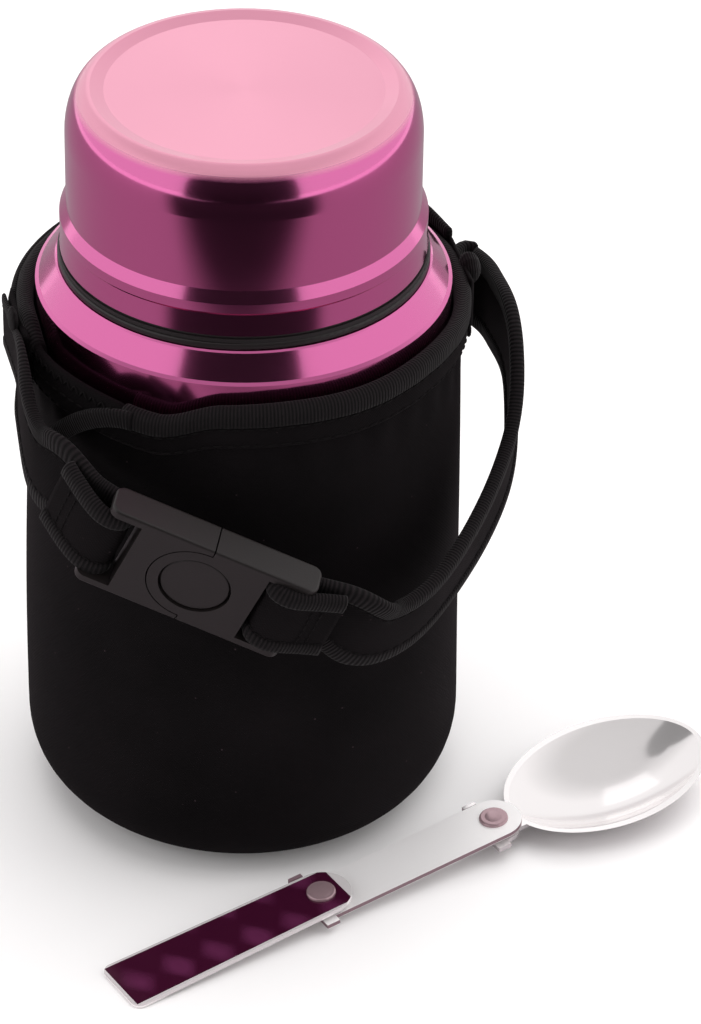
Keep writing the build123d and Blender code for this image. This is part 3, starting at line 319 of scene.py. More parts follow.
picked = addNode(tree, "ShaderNodeMath", {"operation": "GREATER_THAN", 1: 0.8}, {0: rare.outputs[0]})
amount = addNode(tree, "ShaderNodeMath", {"operation": "MULTIPLY"}, {0: specks, 1: picked})
worn = addNode(tree, "ShaderNodeTexNoise", {"Scale": 1 / (30 * mm), "Detail": 4.0}, {"Vector": coords["Object"]})
cloth = addNode(tree, "ShaderNodeValToRGB", links={0: worn})
setRamp(cloth, [(0.35, toLinear(knit["colour"])), (0.75, toLinear(knit["worn"]))])
tint = addNode(tree, "ShaderNodeMix", {"data_type": "RGBA", 7: toLinear(knit["lintColour"])}, {0: amount, 6: cloth})
tree.links.new(tint.outputs[2], shader.inputs["Base Color"])

# Binding tape: ribbed elastic folded over the cut edge, its ribs across the edge at 0.85 mm; its crests are painted
# lighter than the hollows between them, painted light and shade
tape = {"rib": 0.85 * mm, "colour": "#080607", "paintedLitCrest": "#171214"}
bindingTape, tree, shader, coords = newMaterial("polyesterBindingTapeBlack", {
    "Roughness": 0.85, "Sheen Weight": 0.04, "Sheen Roughness": 0.4, "Specular IOR Level": 0.2,
})
split = addNode(tree, "ShaderNodeSeparateXYZ", links={0: coords["UV"]})
turns = addNode(tree, "ShaderNodeMath", {"operation": "MULTIPLY", 1: 2 * math.pi / tape["rib"]}, {0: split.outputs[0]})
ribs = addNode(tree, "ShaderNodeMath", {"operation": "SINE"}, {0: turns})
ribHeight = addNode(tree, "ShaderNodeMapRange", {"From Min": -1.0}, {"Value": ribs})
fuzz = addNode(tree, "ShaderNodeTexNoise", {"Scale": 1 / (0.9 * mm), "Detail": 4.0}, {"Vector": coords["Object"]})
height = addNode(tree, "ShaderNodeMath", {"operation": "MULTIPLY_ADD", 1: 0.35}, {0: fuzz, 2: ribHeight})
addNode(tree, "ShaderNodeBump", {"Strength": 0.8, "Distance": 0.22 * mm}, {"Height": height}, shader.inputs["Normal"])
# Rib crests lighter and hollows darker: painted light and shade
shade = addNode(tree, "ShaderNodeValToRGB", links={0: ribHeight}, into=shader.inputs["Base Color"])
setRamp(shade, [(0.2, toLinear(tape["colour"])), (0.95, toLinear(tape["paintedLitCrest"]))])

# Bonded polyester thread: twisted, and as dull and dark as the cloth that it sinks into
threadBlack, tree, shader, coords = newMaterial("polyesterThreadBlack", {
    "Base Color": toLinear("#0c090a"), "Roughness": 0.85, "Specular IOR Level": 0.2,
})
twist = addNode(tree, "ShaderNodeTexWave", {
    "Scale": 1 / (1.1 * mm), "Distortion": 2.0, "bands_direction": "DIAGONAL"}, {"Vector": coords["Object"]})
addNode(tree, "ShaderNodeBump", {"Strength": 0.5, "Distance": 0.08 * mm}, {"Height": twist.outputs["Fac"]},
        shader.inputs["Normal"])
print("materials made")

finishes = {
    lacquerPink: ["outer_shell", "cup_shell"],
    satinSteel: ["inner_vessel", "base_cap"],
    polishedSteel: ["spoon_bowl", "spoon_washers"],
    rivetSteel: ["spoon_rivets"],
    brushedSteel: ["spoon_link"],
    handleLacquer: ["spoon_handle"],
    acetalBlack: ["buckle_plug", "buckle_socket", "buckle_button"],
    polypropyleneBlack: ["neck_collar", "cup_liner"],
    polypropyleneGrey: ["stopper_body", "stopper_cover", "valve_button"],
    siliconeWhite: ["stopper_seal", "valve_seal"],
    siliconeBlack: ["lid_seal"],
    foamWhite: ["cup_foam", "stopper_foam"],
    brazeYellow: ["vacuum_seal"],
}
for material, names in finishes.items():
    for name in names:
        nodes[name].data.materials.clear()
        nodes[name].data.materials.append(material)


def newPiece(name, mesh, materials):
    for material in materials:
        mesh.materials.append(material)
    mesh.shade_smooth()
    piece = bpy.data.objects.new(name, mesh)
    bpy.context.scene.collection.objects.link(piece)
    return piece


# Rows of points to a quad mesh in metres; row by row along, point by point across, with UVs in metres
def gridPiece(name, rows, material, wrapAlong=False, wrapAcross=False, capEnds=False, uvs=None):
    rows = np.asarray(rows, float)
    along, across = rows.shape[:2]
    faces, corners = [], []
    for i in range(along if wrapAlong else along - 1):
        for j in range(across if wrapAcross else across - 1):
            cell = [(i, j), (i + 1, j), (i + 1, j + 1), (i, j + 1)]
            faces.append([(a % along) * across + b % across for a, b in cell])
            corners.append(cell)
    if capEnds:
        faces.append(list(range(across)))
        corners.append([(0, j) for j in range(across)])
        faces.append([(along - 1) * across + j for j in reversed(range(across))])
        corners.append([(along - 1, j) for j in reversed(range(across))])
    mesh = bpy.data.meshes.new(name)
    mesh.from_pydata([tuple(p) for p in rows.reshape(-1, 3) * mm], [], faces)
    layer = mesh.uv_layers.new(name="UVMap")
    flat = []
    for cell in corners:
        for a, b in cell:
            u = uvs[0][a] if a < len(uvs[0]) else uvs[0][-1] + (uvs[0][-1] - uvs[0][-2])
            v = uvs[1][b] if b < len(uvs[1]) else uvs[1][-1] + (uvs[1][-1] - uvs[1][-2])
            flat += [u * mm, v * mm]
    layer.data.foreach_set("uv", flat)
    piece = newPiece(name, mesh, [material])
    fixNormals(piece)
    return piece


# Doubles merged at the poles, then normals turned outwards
def fixNormals(piece):
    work = bmesh.new()
    work.from_mesh(piece.data)
    bmesh.ops.remove_doubles(work, verts=work.verts, dist=0.002 * mm)
    bmesh.ops.dissolve_degenerate(work, edges=work.edges, dist=0.001 * mm)
    bmesh.ops.recalc_face_normals(work, faces=work.faces)
    work.to_mesh(piece.data)
    work.free()
    piece.data.shade_smooth()


def smoothStep(x, low, high):
    t = np.clip((np.asarray(x, float) - low) / (high - low), 0, 1)
    return t * t * (3 - 2 * t)


# Climbs from 0 to 1 over the rise and drops back to 0 over the fall
def between(x, rise, fall):
    return smoothStep(x, *rise) * (1 - smoothStep(x, *fall))


# Length along a line of points, from its first one
def lengthAlong(points):
    steps = np.linalg.norm(np.diff(np.asarray(points, float), axis=0), axis=1)
    return np.concatenate(([0], np.cumsum(steps)))


# Unit direction of a line at each of its points
def runAlong(points):
    run = np.gradient(points, axis=0)
    return run / np.linalg.norm(run, axis=1)[:, None]


# Points at a radius, angle and height about the jar's axis, any of them an array
def ringPoints(radius, angle, height):
    return np.stack(np.broadcast_arrays(radius * np.cos(angle), radius * np.sin(angle), height), 1)


# Sleeve: neoprene pulled over the jar, hem tugged down at the left front by the strap
sleeve = {
    "thick": 2.2, "upperRadius": 52.6, "lowerRadius": 54.0, "corner": 19.0, "wallTop": 133.0,
    "flatSteps": 6, "cornerSteps": 14, "wallSteps": 48, "around": 240, "turnOver": 3.0,
    "hemTop": 140.5, "hemBase": 129.5, "hemRadius": 54.6, "hemSwell": 0.6, "swellHeight": 120, "swellFrom": 52.4,
    "dip": 4.6, "dipFrom": (195, 207), "dipTo": (248, 266), "dipHeights": (100, 139),
    "tapeDepth": 5.0, "tapeStep": 1.25, "rawEdge": (203, 240), "rawLift": 1.7, "rawFrom": 8.5,
}
folds = {"tug": 0.45, "tugFrom": (205, 230), "tugTo": (250, 285), "tugHeights": (88, 120),
         "pucker": 0.25, "puckers": 34, "puckerFrom": (116, 127), "puckerTo": (128, 132), "smoothBelow": (6, 24)}
turnSteps = np.arange(sleeve["around"]) * 2 * math.pi / sleeve["around"]


# How far the edge hangs below the level hem at an angle in radians, and how much of it reaches a height
def hemDip(angle, height):
    degrees = np.degrees(angle) % 360
    sway = 0.5 * np.sin(3 * angle + 0.6) + 0.35 * np.sin(7 * angle + 2.0)
    share = between(degrees, sleeve["dipFrom"], sleeve["dipTo"])
    return (sleeve["dip"] * share + sway) * smoothStep(height, *sleeve["dipHeights"])


# Soft hollows and folds of the cloth, in millimetres outwards
def clothWaves(angle, height):
    slow = 0.30 * np.sin(2 * angle + height * 0.035) + 0.22 * np.sin(5 * angle - height * 0.05 + 1.0)
    degrees = np.degrees(angle) % 360
    tug = between(degrees, folds["tugFrom"], folds["tugTo"]) * smoothStep(height, *folds["tugHeights"])
    drag = folds["tug"] * tug * np.sin(height * 0.42 + degrees * 0.11)
    gather = between(height, folds["puckerFrom"], folds["puckerTo"])
    pucker = folds["pucker"] * np.sin(folds["puckers"] * angle) * gather
    return (slow + drag + pucker) * smoothStep(height, *folds["smoothBelow"])


def sleeveProfile():
    s = sleeve
    flat = s["lowerRadius"] - s["corner"]
    outer = [(flat * k / s["flatSteps"], 0.0) for k in range(s["flatSteps"] + 1)]
    for k in range(1, s["cornerSteps"] + 1):
        a = math.radians(90 * k / s["cornerSteps"])
        outer.append((flat + s["corner"] * math.sin(a), s["corner"] * (1 - math.cos(a))))
    for k in range(1, s["wallSteps"] + 1):
        z = s["corner"] + (s["wallTop"] - s["corner"]) * k / s["wallSteps"]
        share = min(1, (z - s["corner"]) / (s["hemBase"] - s["corner"]))
        outer.append((s["lowerRadius"] + (s["upperRadius"] - s["lowerRadius"]) * share, z))
    inner = []
    for k, (r, z) in enumerate(outer):
        before, after = outer[max(0, k - 1)], outer[min(len(outer) - 1, k + 1)]
        dr, dz = after[0] - before[0], after[1] - before[1]
        size = math.hypot(dr, dz)
        inner.append((max(0.0, r - dz / size * s["thick"]), z + dr / size * s["thick"] if z < s["wallTop"] else z))
    return outer, inner


outerWall, innerWall = sleeveProfile()
rows = []
for r, z in outerWall:
    swell = clothWaves(turnSteps, z) if r > 0 else 0.0
    rows.append(ringPoints(r + swell, turnSteps, z - hemDip(turnSteps, z)))
for r, z in reversed(innerWall):
    rows.append(ringPoints(r, turnSteps, z - hemDip(turnSteps, z)))
profileLength = lengthAlong(outerWall)
profileLength = np.concatenate((profileLength, profileLength[::-1] + sleeve["turnOver"]))
sleeveCloth = gridPiece("sleeveCloth", rows, neopreneBlack, wrapAcross=True,
                        uvs=(profileLength, turnSteps * sleeve["lowerRadius"]))
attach(sleeveCloth, "sleeve")
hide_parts("sleeve_wall", "sleeve_base")


# How much of the untaped edge shows at an angle in radians
def rawEdge(angle):
    degrees = np.degrees(angle) % 360
    start, end = sleeve["rawEdge"]
    return between(degrees, (start - 4, start + 2), (end - 2, end + 4))


# Band of cloth around the jar from a closed outline of (radius, height) points, over some angles or all round
def hemRing(name, outline, material, angles, closed):
    outline = np.array(outline, float)
    radius, height = outline[:, 0], outline[:, 1]
    raised = height > sleeve["hemBase"] + sleeve["rawFrom"]
    rows = []
    for angle in angles:
        swell = clothWaves(angle, sleeve["swellHeight"]) * sleeve["hemSwell"]
        lift = sleeve["rawLift"] * rawEdge(angle) * raised if closed else 0
        rows.append(ringPoints(radius + np.where(radius > sleeve["swellFrom"], swell, 0), angle,
                               height - hemDip(angle, height) + lift))
    return gridPiece(name, rows, material, wrapAlong=closed, wrapAcross=True, capEnds=not closed,
                     uvs=(angles * sleeve["hemRadius"], lengthAlong(outline)))


top, base = sleeve["hemTop"], sleeve["hemBase"]
hemPanel = hemRing("hemPanel", [
    (52.4, base - 0.6), (53.3, base - 0.2), (53.9, base + 0.8), (54.15, base + 2.5), (54.2, base + 4.5),
    (54.2, base + 7.5), (53.6, base + 9.0), (52.0, base + 9.2), (50.9, base + 8.0), (50.6, base + 4.0),
    (50.7, base + 1.0), (51.5, base - 0.4),
], neopreneBlack, turnSteps, True)
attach(hemPanel, "sleeve")
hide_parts("sleeve_hem")
low = top - sleeve["tapeDepth"]
hemTape = hemRing("hemTape", [
    (54.1, low), (54.6, low + 0.3), (54.85, low + 1.6), (54.8, top - 1.6), (54.3, top - 0.5), (53.3, top + 0.15),
    (52.2, top + 0.15), (51.1, top - 0.4), (50.55, top - 1.6), (50.45, low + 1.6), (50.5, low + 0.4), (51.2, low),
], bindingTape, np.radians(np.arange(sleeve["rawEdge"][1], sleeve["rawEdge"][0] + 361.0, sleeve["tapeStep"])), False)
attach(hemTape, "sleeve")
print("sleeve and hem made")


# Thread stitches as Geometry Nodes: one stretched bead on every point, turned by the point's own attribute
def threadTree():
    tree = bpy.data.node_groups.new("threadStitches", "GeometryNodeTree")
    sockets = {}
    for name, kind in (("Geometry", "NodeSocketGeometry"), ("Thread Length", "NodeSocketFloat"),
                       ("Thread Radius", "NodeSocketFloat"), ("Thread Material", "NodeSocketMaterial")):
        sockets[name] = tree.interface.new_socket(name=name, in_out="INPUT", socket_type=kind).identifier
    tree.interface.new_socket(name="Geometry", in_out="OUTPUT", socket_type="NodeSocketGeometry")
    given = addNode(tree, "NodeGroupInput")
    half = addNode(tree, "ShaderNodeMath", {"operation": "MULTIPLY", 1: 0.5}, {0: given.outputs["Thread Length"]})
    size = addNode(tree, "ShaderNodeCombineXYZ", links={
        0: half, 1: given.outputs["Thread Radius"], 2: given.outputs["Thread Radius"]})
    bead = addNode(tree, "GeometryNodeMeshUVSphere", {"Segments": 8, "Rings": 6, "Radius": 1.0})
    drawn = addNode(tree, "GeometryNodeTransform", links={"Geometry": bead, "Scale": size})
    turn = addNode(tree, "GeometryNodeInputNamedAttribute", {"data_type": "QUATERNION", "Name": "turn"})
    placed = addNode(tree, "GeometryNodeInstanceOnPoints", links={
        "Points": given.outputs["Geometry"], "Instance": drawn, "Rotation": turn.outputs["Attribute"]})
    real = addNode(tree, "GeometryNodeRealizeInstances", links={0: placed})
    smooth = addNode(tree, "GeometryNodeSetShadeSmooth", links={0: real})
    coloured = addNode(tree, "GeometryNodeSetMaterial", links={
        "Geometry": smooth, "Material": given.outputs["Thread Material"]})
    addNode(tree, "NodeGroupOutput", links={0: coloured})
    return tree, sockets


threads, threadSockets = threadTree()


# Stitches from sets of places (mm), runs and normals, each lying along its run with its flat on the normal
def stitchPiece(name, sets, length, radius):
    places, runs, normals = [np.concatenate(x) for x in zip(*sets)]
    mesh = bpy.data.meshes.new(name)
    mesh.from_pydata([tuple(p) for p in places * mm], [], [])
    turns = []
    for run, normal in zip(runs, normals):
        x = Vector(run).normalized()
        z = Vector(normal)
        z = (z - x * z.dot(x)).normalized()
        turns += list(Matrix((x, z.cross(x), z)).transposed().to_quaternion())
    mesh.attributes.new("turn", "QUATERNION", "POINT").data.foreach_set("value", turns)
    piece = bpy.data.objects.new(name, mesh)
    bpy.context.scene.collection.objects.link(piece)
    modifier = piece.modifiers.new("threads", "NODES")
    modifier.node_group = threads
    modifier[threadSockets["Thread Length"]] = length * mm
    modifier[threadSockets["Thread Radius"]] = radius * mm
    modifier[threadSockets["Thread Material"]] = threadBlack
    bpy.context.view_layer.update()
    done = bpy.data.meshes.new_from_object(piece.evaluated_get(bpy.context.evaluated_depsgraph_get()))
    piece.modifiers.clear()
    piece.data = done
    return piece


# Even places along a line of points: place, run and normal at each
def alongLine(line, normals, spacing):
    line, normals = np.asarray(line, float), np.asarray(normals, float)
    reach = lengthAlong(line)
    stops = np.arange(spacing / 2, reach[-1], spacing)

    def at(values, shift=0.0):
        return np.stack([np.interp(stops + shift, reach, values[:, k]) for k in range(3)], 1)
    return at(line), at(line, 0.2) - at(line, -0.2), at(normals)


# Line around the jar at a radius and a height, lying on the cloth
def ringLine(radius, height):
    closed = np.append(turnSteps, turnSteps[0] + 2 * math.pi)
    swell = clothWaves(closed, sleeve["swellHeight"]) * sleeve["hemSwell"]
    return ringPoints(radius + swell, closed, height - hemDip(closed, height)), ringPoints(1.0, closed, 0.0)


seams = {"hemLow": (53.95, 130.4), "hemHigh": (54.35, 135.2), "spacing": 3.2, "length": 2.5, "radius": 0.26,
         "edge": (54.1, 138.6), "edgeSpacing": 1.5, "edgeRaise": 0.2, "zigzag": 1.3,
         "barTack": 203.5, "barRows": 11, "barRadius": 54.4, "barBase": 126.5, "barStep": 0.85}
sets = [alongLine(*ringLine(*seams[k]), seams["spacing"]) for k in ("hemLow", "hemHigh")]
places, runs, normals = alongLine(*ringLine(*seams["edge"]), seams["edgeSpacing"])
bare = rawEdge(np.arctan2(places[:, 1], places[:, 0])) > 0.5
places, runs, normals = places[bare], runs[bare] / np.linalg.norm(runs[bare], axis=1)[:, None], normals[bare]
zigzag = np.where(np.arange(len(places)) % 2, 1.0, -1.0)[:, None]
upwards = np.array([0, 0, 1.0])
sets.append((places + upwards * seams["edgeRaise"], runs + zigzag * upwards * seams["zigzag"], normals))
barAngle = math.radians(seams["barTack"])
outwards = np.array([math.cos(barAngle), math.sin(barAngle), 0])
sideways = np.array([-math.sin(barAngle), math.cos(barAngle), 0])
levels = seams["barBase"] + np.arange(seams["barRows"])[:, None] * seams["barStep"]
sets.append((outwards * seams["barRadius"] + levels * upwards, np.tile(sideways, (seams["barRows"], 1)),
             np.tile(outwards, (seams["barRows"], 1))))
hemStitches = stitchPiece("hemStitches", sets, seams["length"], seams["radius"])
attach(hemStitches, "sleeve")
print("hem stitched")


# Cubic spline through points with free ends, on chord lengths
def splineThrough(points, knots):
    points = np.asarray(points, float)
    count, step = len(points), np.diff(knots)
    matrix, right = np.eye(count), np.zeros_like(points)
    for i in range(1, count - 1):
        matrix[i, i - 1:i + 2] = step[i - 1], 2 * (step[i - 1] + step[i]), step[i]
        right[i] = 6 * ((points[i + 1] - points[i]) / step[i] - (points[i] - points[i - 1]) / step[i - 1])
    bend = np.linalg.solve(matrix, right)

    def at(t):
        i = np.clip(np.searchsorted(knots, t, "right") - 1, 0, count - 2)
        a, b, h = (knots[i + 1] - t)[:, None], (t - knots[i])[:, None], step[i][:, None]
        return (bend[i] * a ** 3 / (6 * h) + bend[i + 1] * b ** 3 / (6 * h)
                + (points[i] / h - bend[i] * h / 6) * a + (points[i + 1] / h - bend[i + 1] * h / 6) * b)
    return at


# Strap halves on the CAD's own route: doubled back round the buckle bar, then led to the anchor;
# the loose turn at the right sags up to 5 mm lower than the CAD's
strapRoute = {
    "turn": 14.0, "side": 57.0, "drop": 48.5, "pivot": 138.5, "endHeight": 131.5, "endLength": 8.0,
    "endShares": {-1: (1.0, 0.5, 0.0, -0.5, -1.0, -1.7), 1: (1.0, 0.6, 0.2, -0.2)},
    "endLower": {-1: 0.0, 1: 3.0}, "upright": {-1: 1.0, 1: 0.6}, "guide": 10, "step": 1.2,
    "buckle": (-0.439, -1.123, 0.567), "heading": 23.0, "slope": 22.0, "lean": 12.0,
    "foldRadius": 3.2, "foldLength": 14.0, "foldStep": 7.0, "leftBar": 23.6, "rightBar": 19.8,
    "leftFold": (-6.0, 0.2, -4.9, -9.2), "rightFold": (-2.2, 1.0, -3.9, -5.4),
    "shortRun": [(-0.975, -0.632, 0.258), (-1.004, -0.298, 0.082)],
    "longRun": [(0.281, -1.219, 0.979), (0.465, -1.132, 1.0), (0.649, -0.974, 0.948), (0.804, -0.798, 0.880),
                (0.942, -0.623, 0.790), (1.056, -0.447, 0.658), (1.133, -0.237, 0.431), (1.165, -0.018, 0.297),
                (1.165, 0.228, 0.293), (1.144, 0.377, 0.293), (1.084, 0.461, 0.278), (1.025, 0.377, 0.237),
                (1.002, 0.228, 0.155)],
}
# Its cloth: how it flattens, narrows and sinks where it is seated at the anchor, and how it is sewn
strapCloth = {
    "seatFrom": 36, "seatTo": 14, "seat": 0.95, "lower": 1.5, "narrow": 0.32, "flatten": 0.66,
    "foldEnd": 55.0, "foldEase": 25, "foldInner": 0.74,
    "stitchAt": 6.3, "stitchSpacing": 3.0, "stitchLength": 2.2, "stitchRadius": 0.24,
    "stitchFaces": ((1, 1.2), (-1, 1.1)),
    "endRows": (4.0, 6.5), "endRowHalf": 6, "endRowPoints": 13, "endRowHeight": 1.34, "endRowSpacing": 2.4,
}
turnAngle = math.radians(strapRoute["turn"])
strapAcross = Vector((math.cos(turnAngle), math.sin(turnAngle), 0))
strapBack = Vector((-math.sin(turnAngle), math.cos(turnAngle), 0))


def fromStrap(p):
    return strapAcross * p[0] + strapBack * p[1] + Vector((0, 0, p[2]))


# Place on the route from its shares of the strap's side and drop
def strapPlace(p):
    return p[0] * strapRoute["side"], p[1] * strapRoute["side"], strapRoute["endHeight"] - p[2] * strapRoute["drop"]


def buckleAxes():
    heading, slope, lean = (math.radians(strapRoute[k]) for k in ("heading", "slope", "lean"))
    outward = Vector((-math.sin(heading), -math.cos(heading), 0))
    along = Vector((math.cos(slope) * math.cos(heading), -math.cos(slope) * math.sin(heading), -math.sin(slope)))
    across = outward.cross(along)
    face = outward * math.cos(lean) - across * math.sin(lean)
    return [fromStrap(v) for v in (along, face.cross(along), face)]


buckleAlong, buckleAcross, buckleFace = buckleAxes()
bucklePlace = fromStrap(strapPlace(strapRoute["buckle"]))


def foldPoints(bar, way, depth):
    r, loop = strapRoute["foldRadius"], strapRoute["foldRadius"] * math.sqrt(0.5)
    far, mid = way * strapRoute["foldLength"], way * strapRoute["foldStep"]
    flat = [(bar + far, depth[0]), (bar + mid, depth[1]), (bar, r), (bar - way * loop, loop), (bar - way * r, 0),
            (bar - way * loop, -loop), (bar, -r), (bar + mid, depth[2]), (bar + far, depth[3])]
    return [bucklePlace + buckleAlong * x + buckleFace * z for x, z in flat]


# Centre line of a strap half with its run, up and face directions and the length along it
def strapLine(fold, run, side):
    shares = strapRoute["endShares"][side]
    endHeight = strapRoute["endHeight"] - strapRoute["endLower"][side]
    ends = [(side * strapRoute["side"], side * strapRoute["endLength"] * s, endHeight) for s in shares]
    tail = [fromStrap(p) for p in [strapPlace(p) for p in run] + ends]
    points = fold + tail
    turning = len(tail) - len(shares)
    guide = []
    for index, point in enumerate(points):
        share = min(1, max(0, (index - len(fold) + 1) / (turning * strapRoute["upright"][side])))
        guide.append(point + (buckleAcross * (1 - share) + Vector((0, 0, 1)) * share) * strapRoute["guide"])
    knots = np.concatenate(([0], np.cumsum([(b - a).length for a, b in zip(points, points[1:])])))
    stops = np.linspace(0, knots[-1], int(knots[-1] / strapRoute["step"]))
    centre = splineThrough(points, knots)(stops)
    up = splineThrough(guide, knots)(stops) - centre
    run = runAlong(centre)
    up -= run * (up * run).sum(1)[:, None]
    up /= np.linalg.norm(up, axis=1)[:, None]
    return centre, run, up, np.cross(run, up) * -side, lengthAlong(centre)


# Closed outline (across, outwards) swept along a strap line; outer and inner scale its two sides along the line
def sweepStrap(name, lines, outline, material, outer, inner):
    centre, run, up, face, reach = lines
    rows = []
    for k in range(len(centre)):
        points = []
        for across, height in outline:
            lift = height * (outer[k] if height > 0 else inner[k])
            points.append(centre[k] + up[k] * across + face[k] * lift)
        rows.append(points)
    return gridPiece(name, rows, material, wrapAcross=True, capEnds=True, uvs=(reach, lengthAlong(outline)))


panelOutline = [(-9.6, 1.0), (-7.5, 1.12), (-4, 1.3), (0, 1.36), (4, 1.3), (7.5, 1.12), (9.6, 1.0),
                (9.6, -0.92), (7.5, -1.03), (4, -1.16), (0, -1.2), (-4, -1.16), (-7.5, -1.03), (-9.6, -0.92)]
tapeOutline = [(6.6, 0.9), (6.75, 1.5), (7.6, 1.72), (9.2, 1.74), (10.4, 1.5), (11.0, 0.75), (11.1, 0.0),
               (11.0, -0.75), (10.4, -1.5), (9.2, -1.74), (7.6, -1.72), (6.75, -1.5), (6.6, -0.9)]


def dressStrap(name, node, lines, side):
    centre, run, up, face, reach = lines
    c = strapCloth
    seated = smoothStep(reach, reach[-1] - c["seatFrom"], reach[-1] - c["seatTo"])
    outer = 1 - c["flatten"] * seated
    eased = smoothStep(reach, c["foldEnd"], c["foldEnd"] + c["foldEase"])
    inner = np.minimum(c["foldInner"] + (1 - c["foldInner"]) * eased, outer)
    shift = np.array(strapAcross) * c["seat"] * side + np.array((0, 0, c["lower"]))
    centre = centre - seated[:, None] * shift
    up = up * (1 - c["narrow"] * seated)[:, None]
    lines = (centre, run, up, face, reach)
    panel = sweepStrap(name + "Panel", lines, panelOutline, neopreneBlack, outer, outer)
    upper = sweepStrap(name + "TapeUpper", lines, tapeOutline, bindingTape, outer, inner)
    lower = sweepStrap(name + "TapeLower", lines, [(-a, h) for a, h in tapeOutline], bindingTape, outer, inner)
    sets = []
    for across in (-c["stitchAt"], c["stitchAt"]):
        for way, height in c["stitchFaces"]:
            line = centre + up * across + face * (way * height * outer)[:, None]
            sets.append(alongLine(line, face * way, c["stitchSpacing"]))
    for place in c["endRows"]:  # rows that sew the doubled end down
        k = int(np.searchsorted(reach, place))
        steps = np.linspace(-c["endRowHalf"], c["endRowHalf"], c["endRowPoints"])
        line = np.array([centre[k] + up[k] * a + face[k] * c["endRowHeight"] for a in steps])
        sets.append(alongLine(line, np.tile(face[k], (len(steps), 1)), c["endRowSpacing"]))
    stitches = stitchPiece(name + "Stitches", sets, c["stitchLength"], c["stitchRadius"])
    for piece in (panel, upper, lower, stitches):
        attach(piece, "strap")
    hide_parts(node)


shortLines = strapLine(foldPoints(-strapRoute["leftBar"], -1, strapRoute["leftFold"]), strapRoute["shortRun"], -1)
longLines = strapLine(foldPoints(strapRoute["rightBar"], 1, strapRoute["rightFold"]), strapRoute["longRun"], 1)
dressStrap("strapShort", "strap_short", shortLines, -1)
dressStrap("strapLong", "strap_long", longLines, 1)

# Anchor patches on the hem, where the strap ends sit
anchor = {"face": 55.3, "from": -9.0, "to": 14.0, "base": 125.0, "top": {-1: 138.6, 1: 140.4}, "thick": 0.9,
          "rim": 0.5, "sunk": 0.04, "softEdge": 1.5, "lean": 1.5, "leanHeights": (118, 130), "steps": 16}


def anchorPatch(side):
    top = anchor["top"][side]
    zs = np.linspace(anchor["base"], top, anchor["steps"])
    bs = np.linspace(anchor["from"], anchor["to"], anchor["steps"])
    front, back = [], []
    for z in zs:
        edgeZ = min(z - anchor["base"], top - z)
        face = anchor["face"] - anchor["lean"] * (1 - smoothStep(z, *anchor["leanHeights"]))
        for b in bs:
            edge = min(edgeZ, b - anchor["from"], anchor["to"] - b)
            puff = anchor["thick"] * min(1.0, edge / anchor["softEdge"]) ** 0.5 if edge > 0 else 0.0
            front.append(fromStrap((side * (face - anchor["thick"] + puff - anchor["sunk"]), b, z)))
            back.append(fromStrap((side * (face - anchor["thick"] - anchor["rim"]), b, z)))
    return front, back, len(zs), len(bs)


def patchMesh(name):
    points, faces = [], []
    for side in (-1, 1):
        front, back, nz, nb = anchorPatch(side)
        start = len(points)
        points += front + back
        for i in range(nz - 1):
            for j in range(nb - 1):
                cell = [i * nb + j, i * nb + j + 1, (i + 1) * nb + j + 1, (i + 1) * nb + j]
                faces.append([start + c for c in cell])
                faces.append([start + nz * nb + c for c in reversed(cell)])
        rim = ([j for j in range(nb)] + [i * nb + nb - 1 for i in range(1, nz)]
               + [(nz - 1) * nb + j for j in range(nb - 2, -1, -1)] + [i * nb for i in range(nz - 2, 0, -1)])
        for a, b in zip(rim, rim[1:] + rim[:1]):
            faces.append([start + a, start + nz * nb + a, start + nz * nb + b, start + b])
    mesh = bpy.data.meshes.new(name)
    mesh.from_pydata([tuple(p * mm) for p in points], [], faces)
    layer = mesh.uv_layers.new(name="UVMap")
    for loop in mesh.loops:
        co = mesh.vertices[loop.vertex_index].co
        layer.data[loop.index].uv = (co.y, co.z)
    return mesh


anchorPatches = newPiece("anchorPatches", patchMesh("anchorPatches"), [neopreneBlack])
fixNormals(anchorPatches)
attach(anchorPatches, "sleeve")
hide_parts("strap_anchors")


# Sewn band: the strap runs on round the back of the hem, a little higher on the right, where its end
# narrows into the anchor patch
bandShape = {"radius": 55.4, "from": 12.6, "to": 167.4, "step": 1.2, "left": 137.5, "right": 145.5, "reach": 58.6,
             "half": 10.0, "taper": 0.7, "taperLength": 18, "panelHeight": 0.6, "tapeHeight": 0.52, "stitchHeight": 0.7}


def bandLines(shape):
    a = np.radians(np.arange(shape["from"], shape["to"], shape["step"]))
    u, b = shape["radius"] * np.cos(a), shape["radius"] * np.sin(a)
    share = (u + shape["reach"]) / (2 * shape["reach"])
    z = shape["left"] + (shape["right"] - shape["left"]) * share - shape["half"]
    z = z + 0.5 * np.sin(5 * a + 0.7)
    centre = np.array([fromStrap(p) for p in zip(u, b, z)])
    run, reach = runAlong(centre), lengthAlong(centre)
    face = np.array([fromStrap((math.cos(k), math.sin(k), 0)) for k in a])
    taper = shape["taper"] + (1 - shape["taper"]) * smoothStep(reach, 0, shape["taperLength"])
    return centre, run, np.cross(face, run) * taper[:, None], face, reach


# A strap outline at the band's width, on either side of its middle, and at a share of its height
def bandOutline(outline, way, height):
    return [(way * a * bandShare, h * height) for a, h in outline]


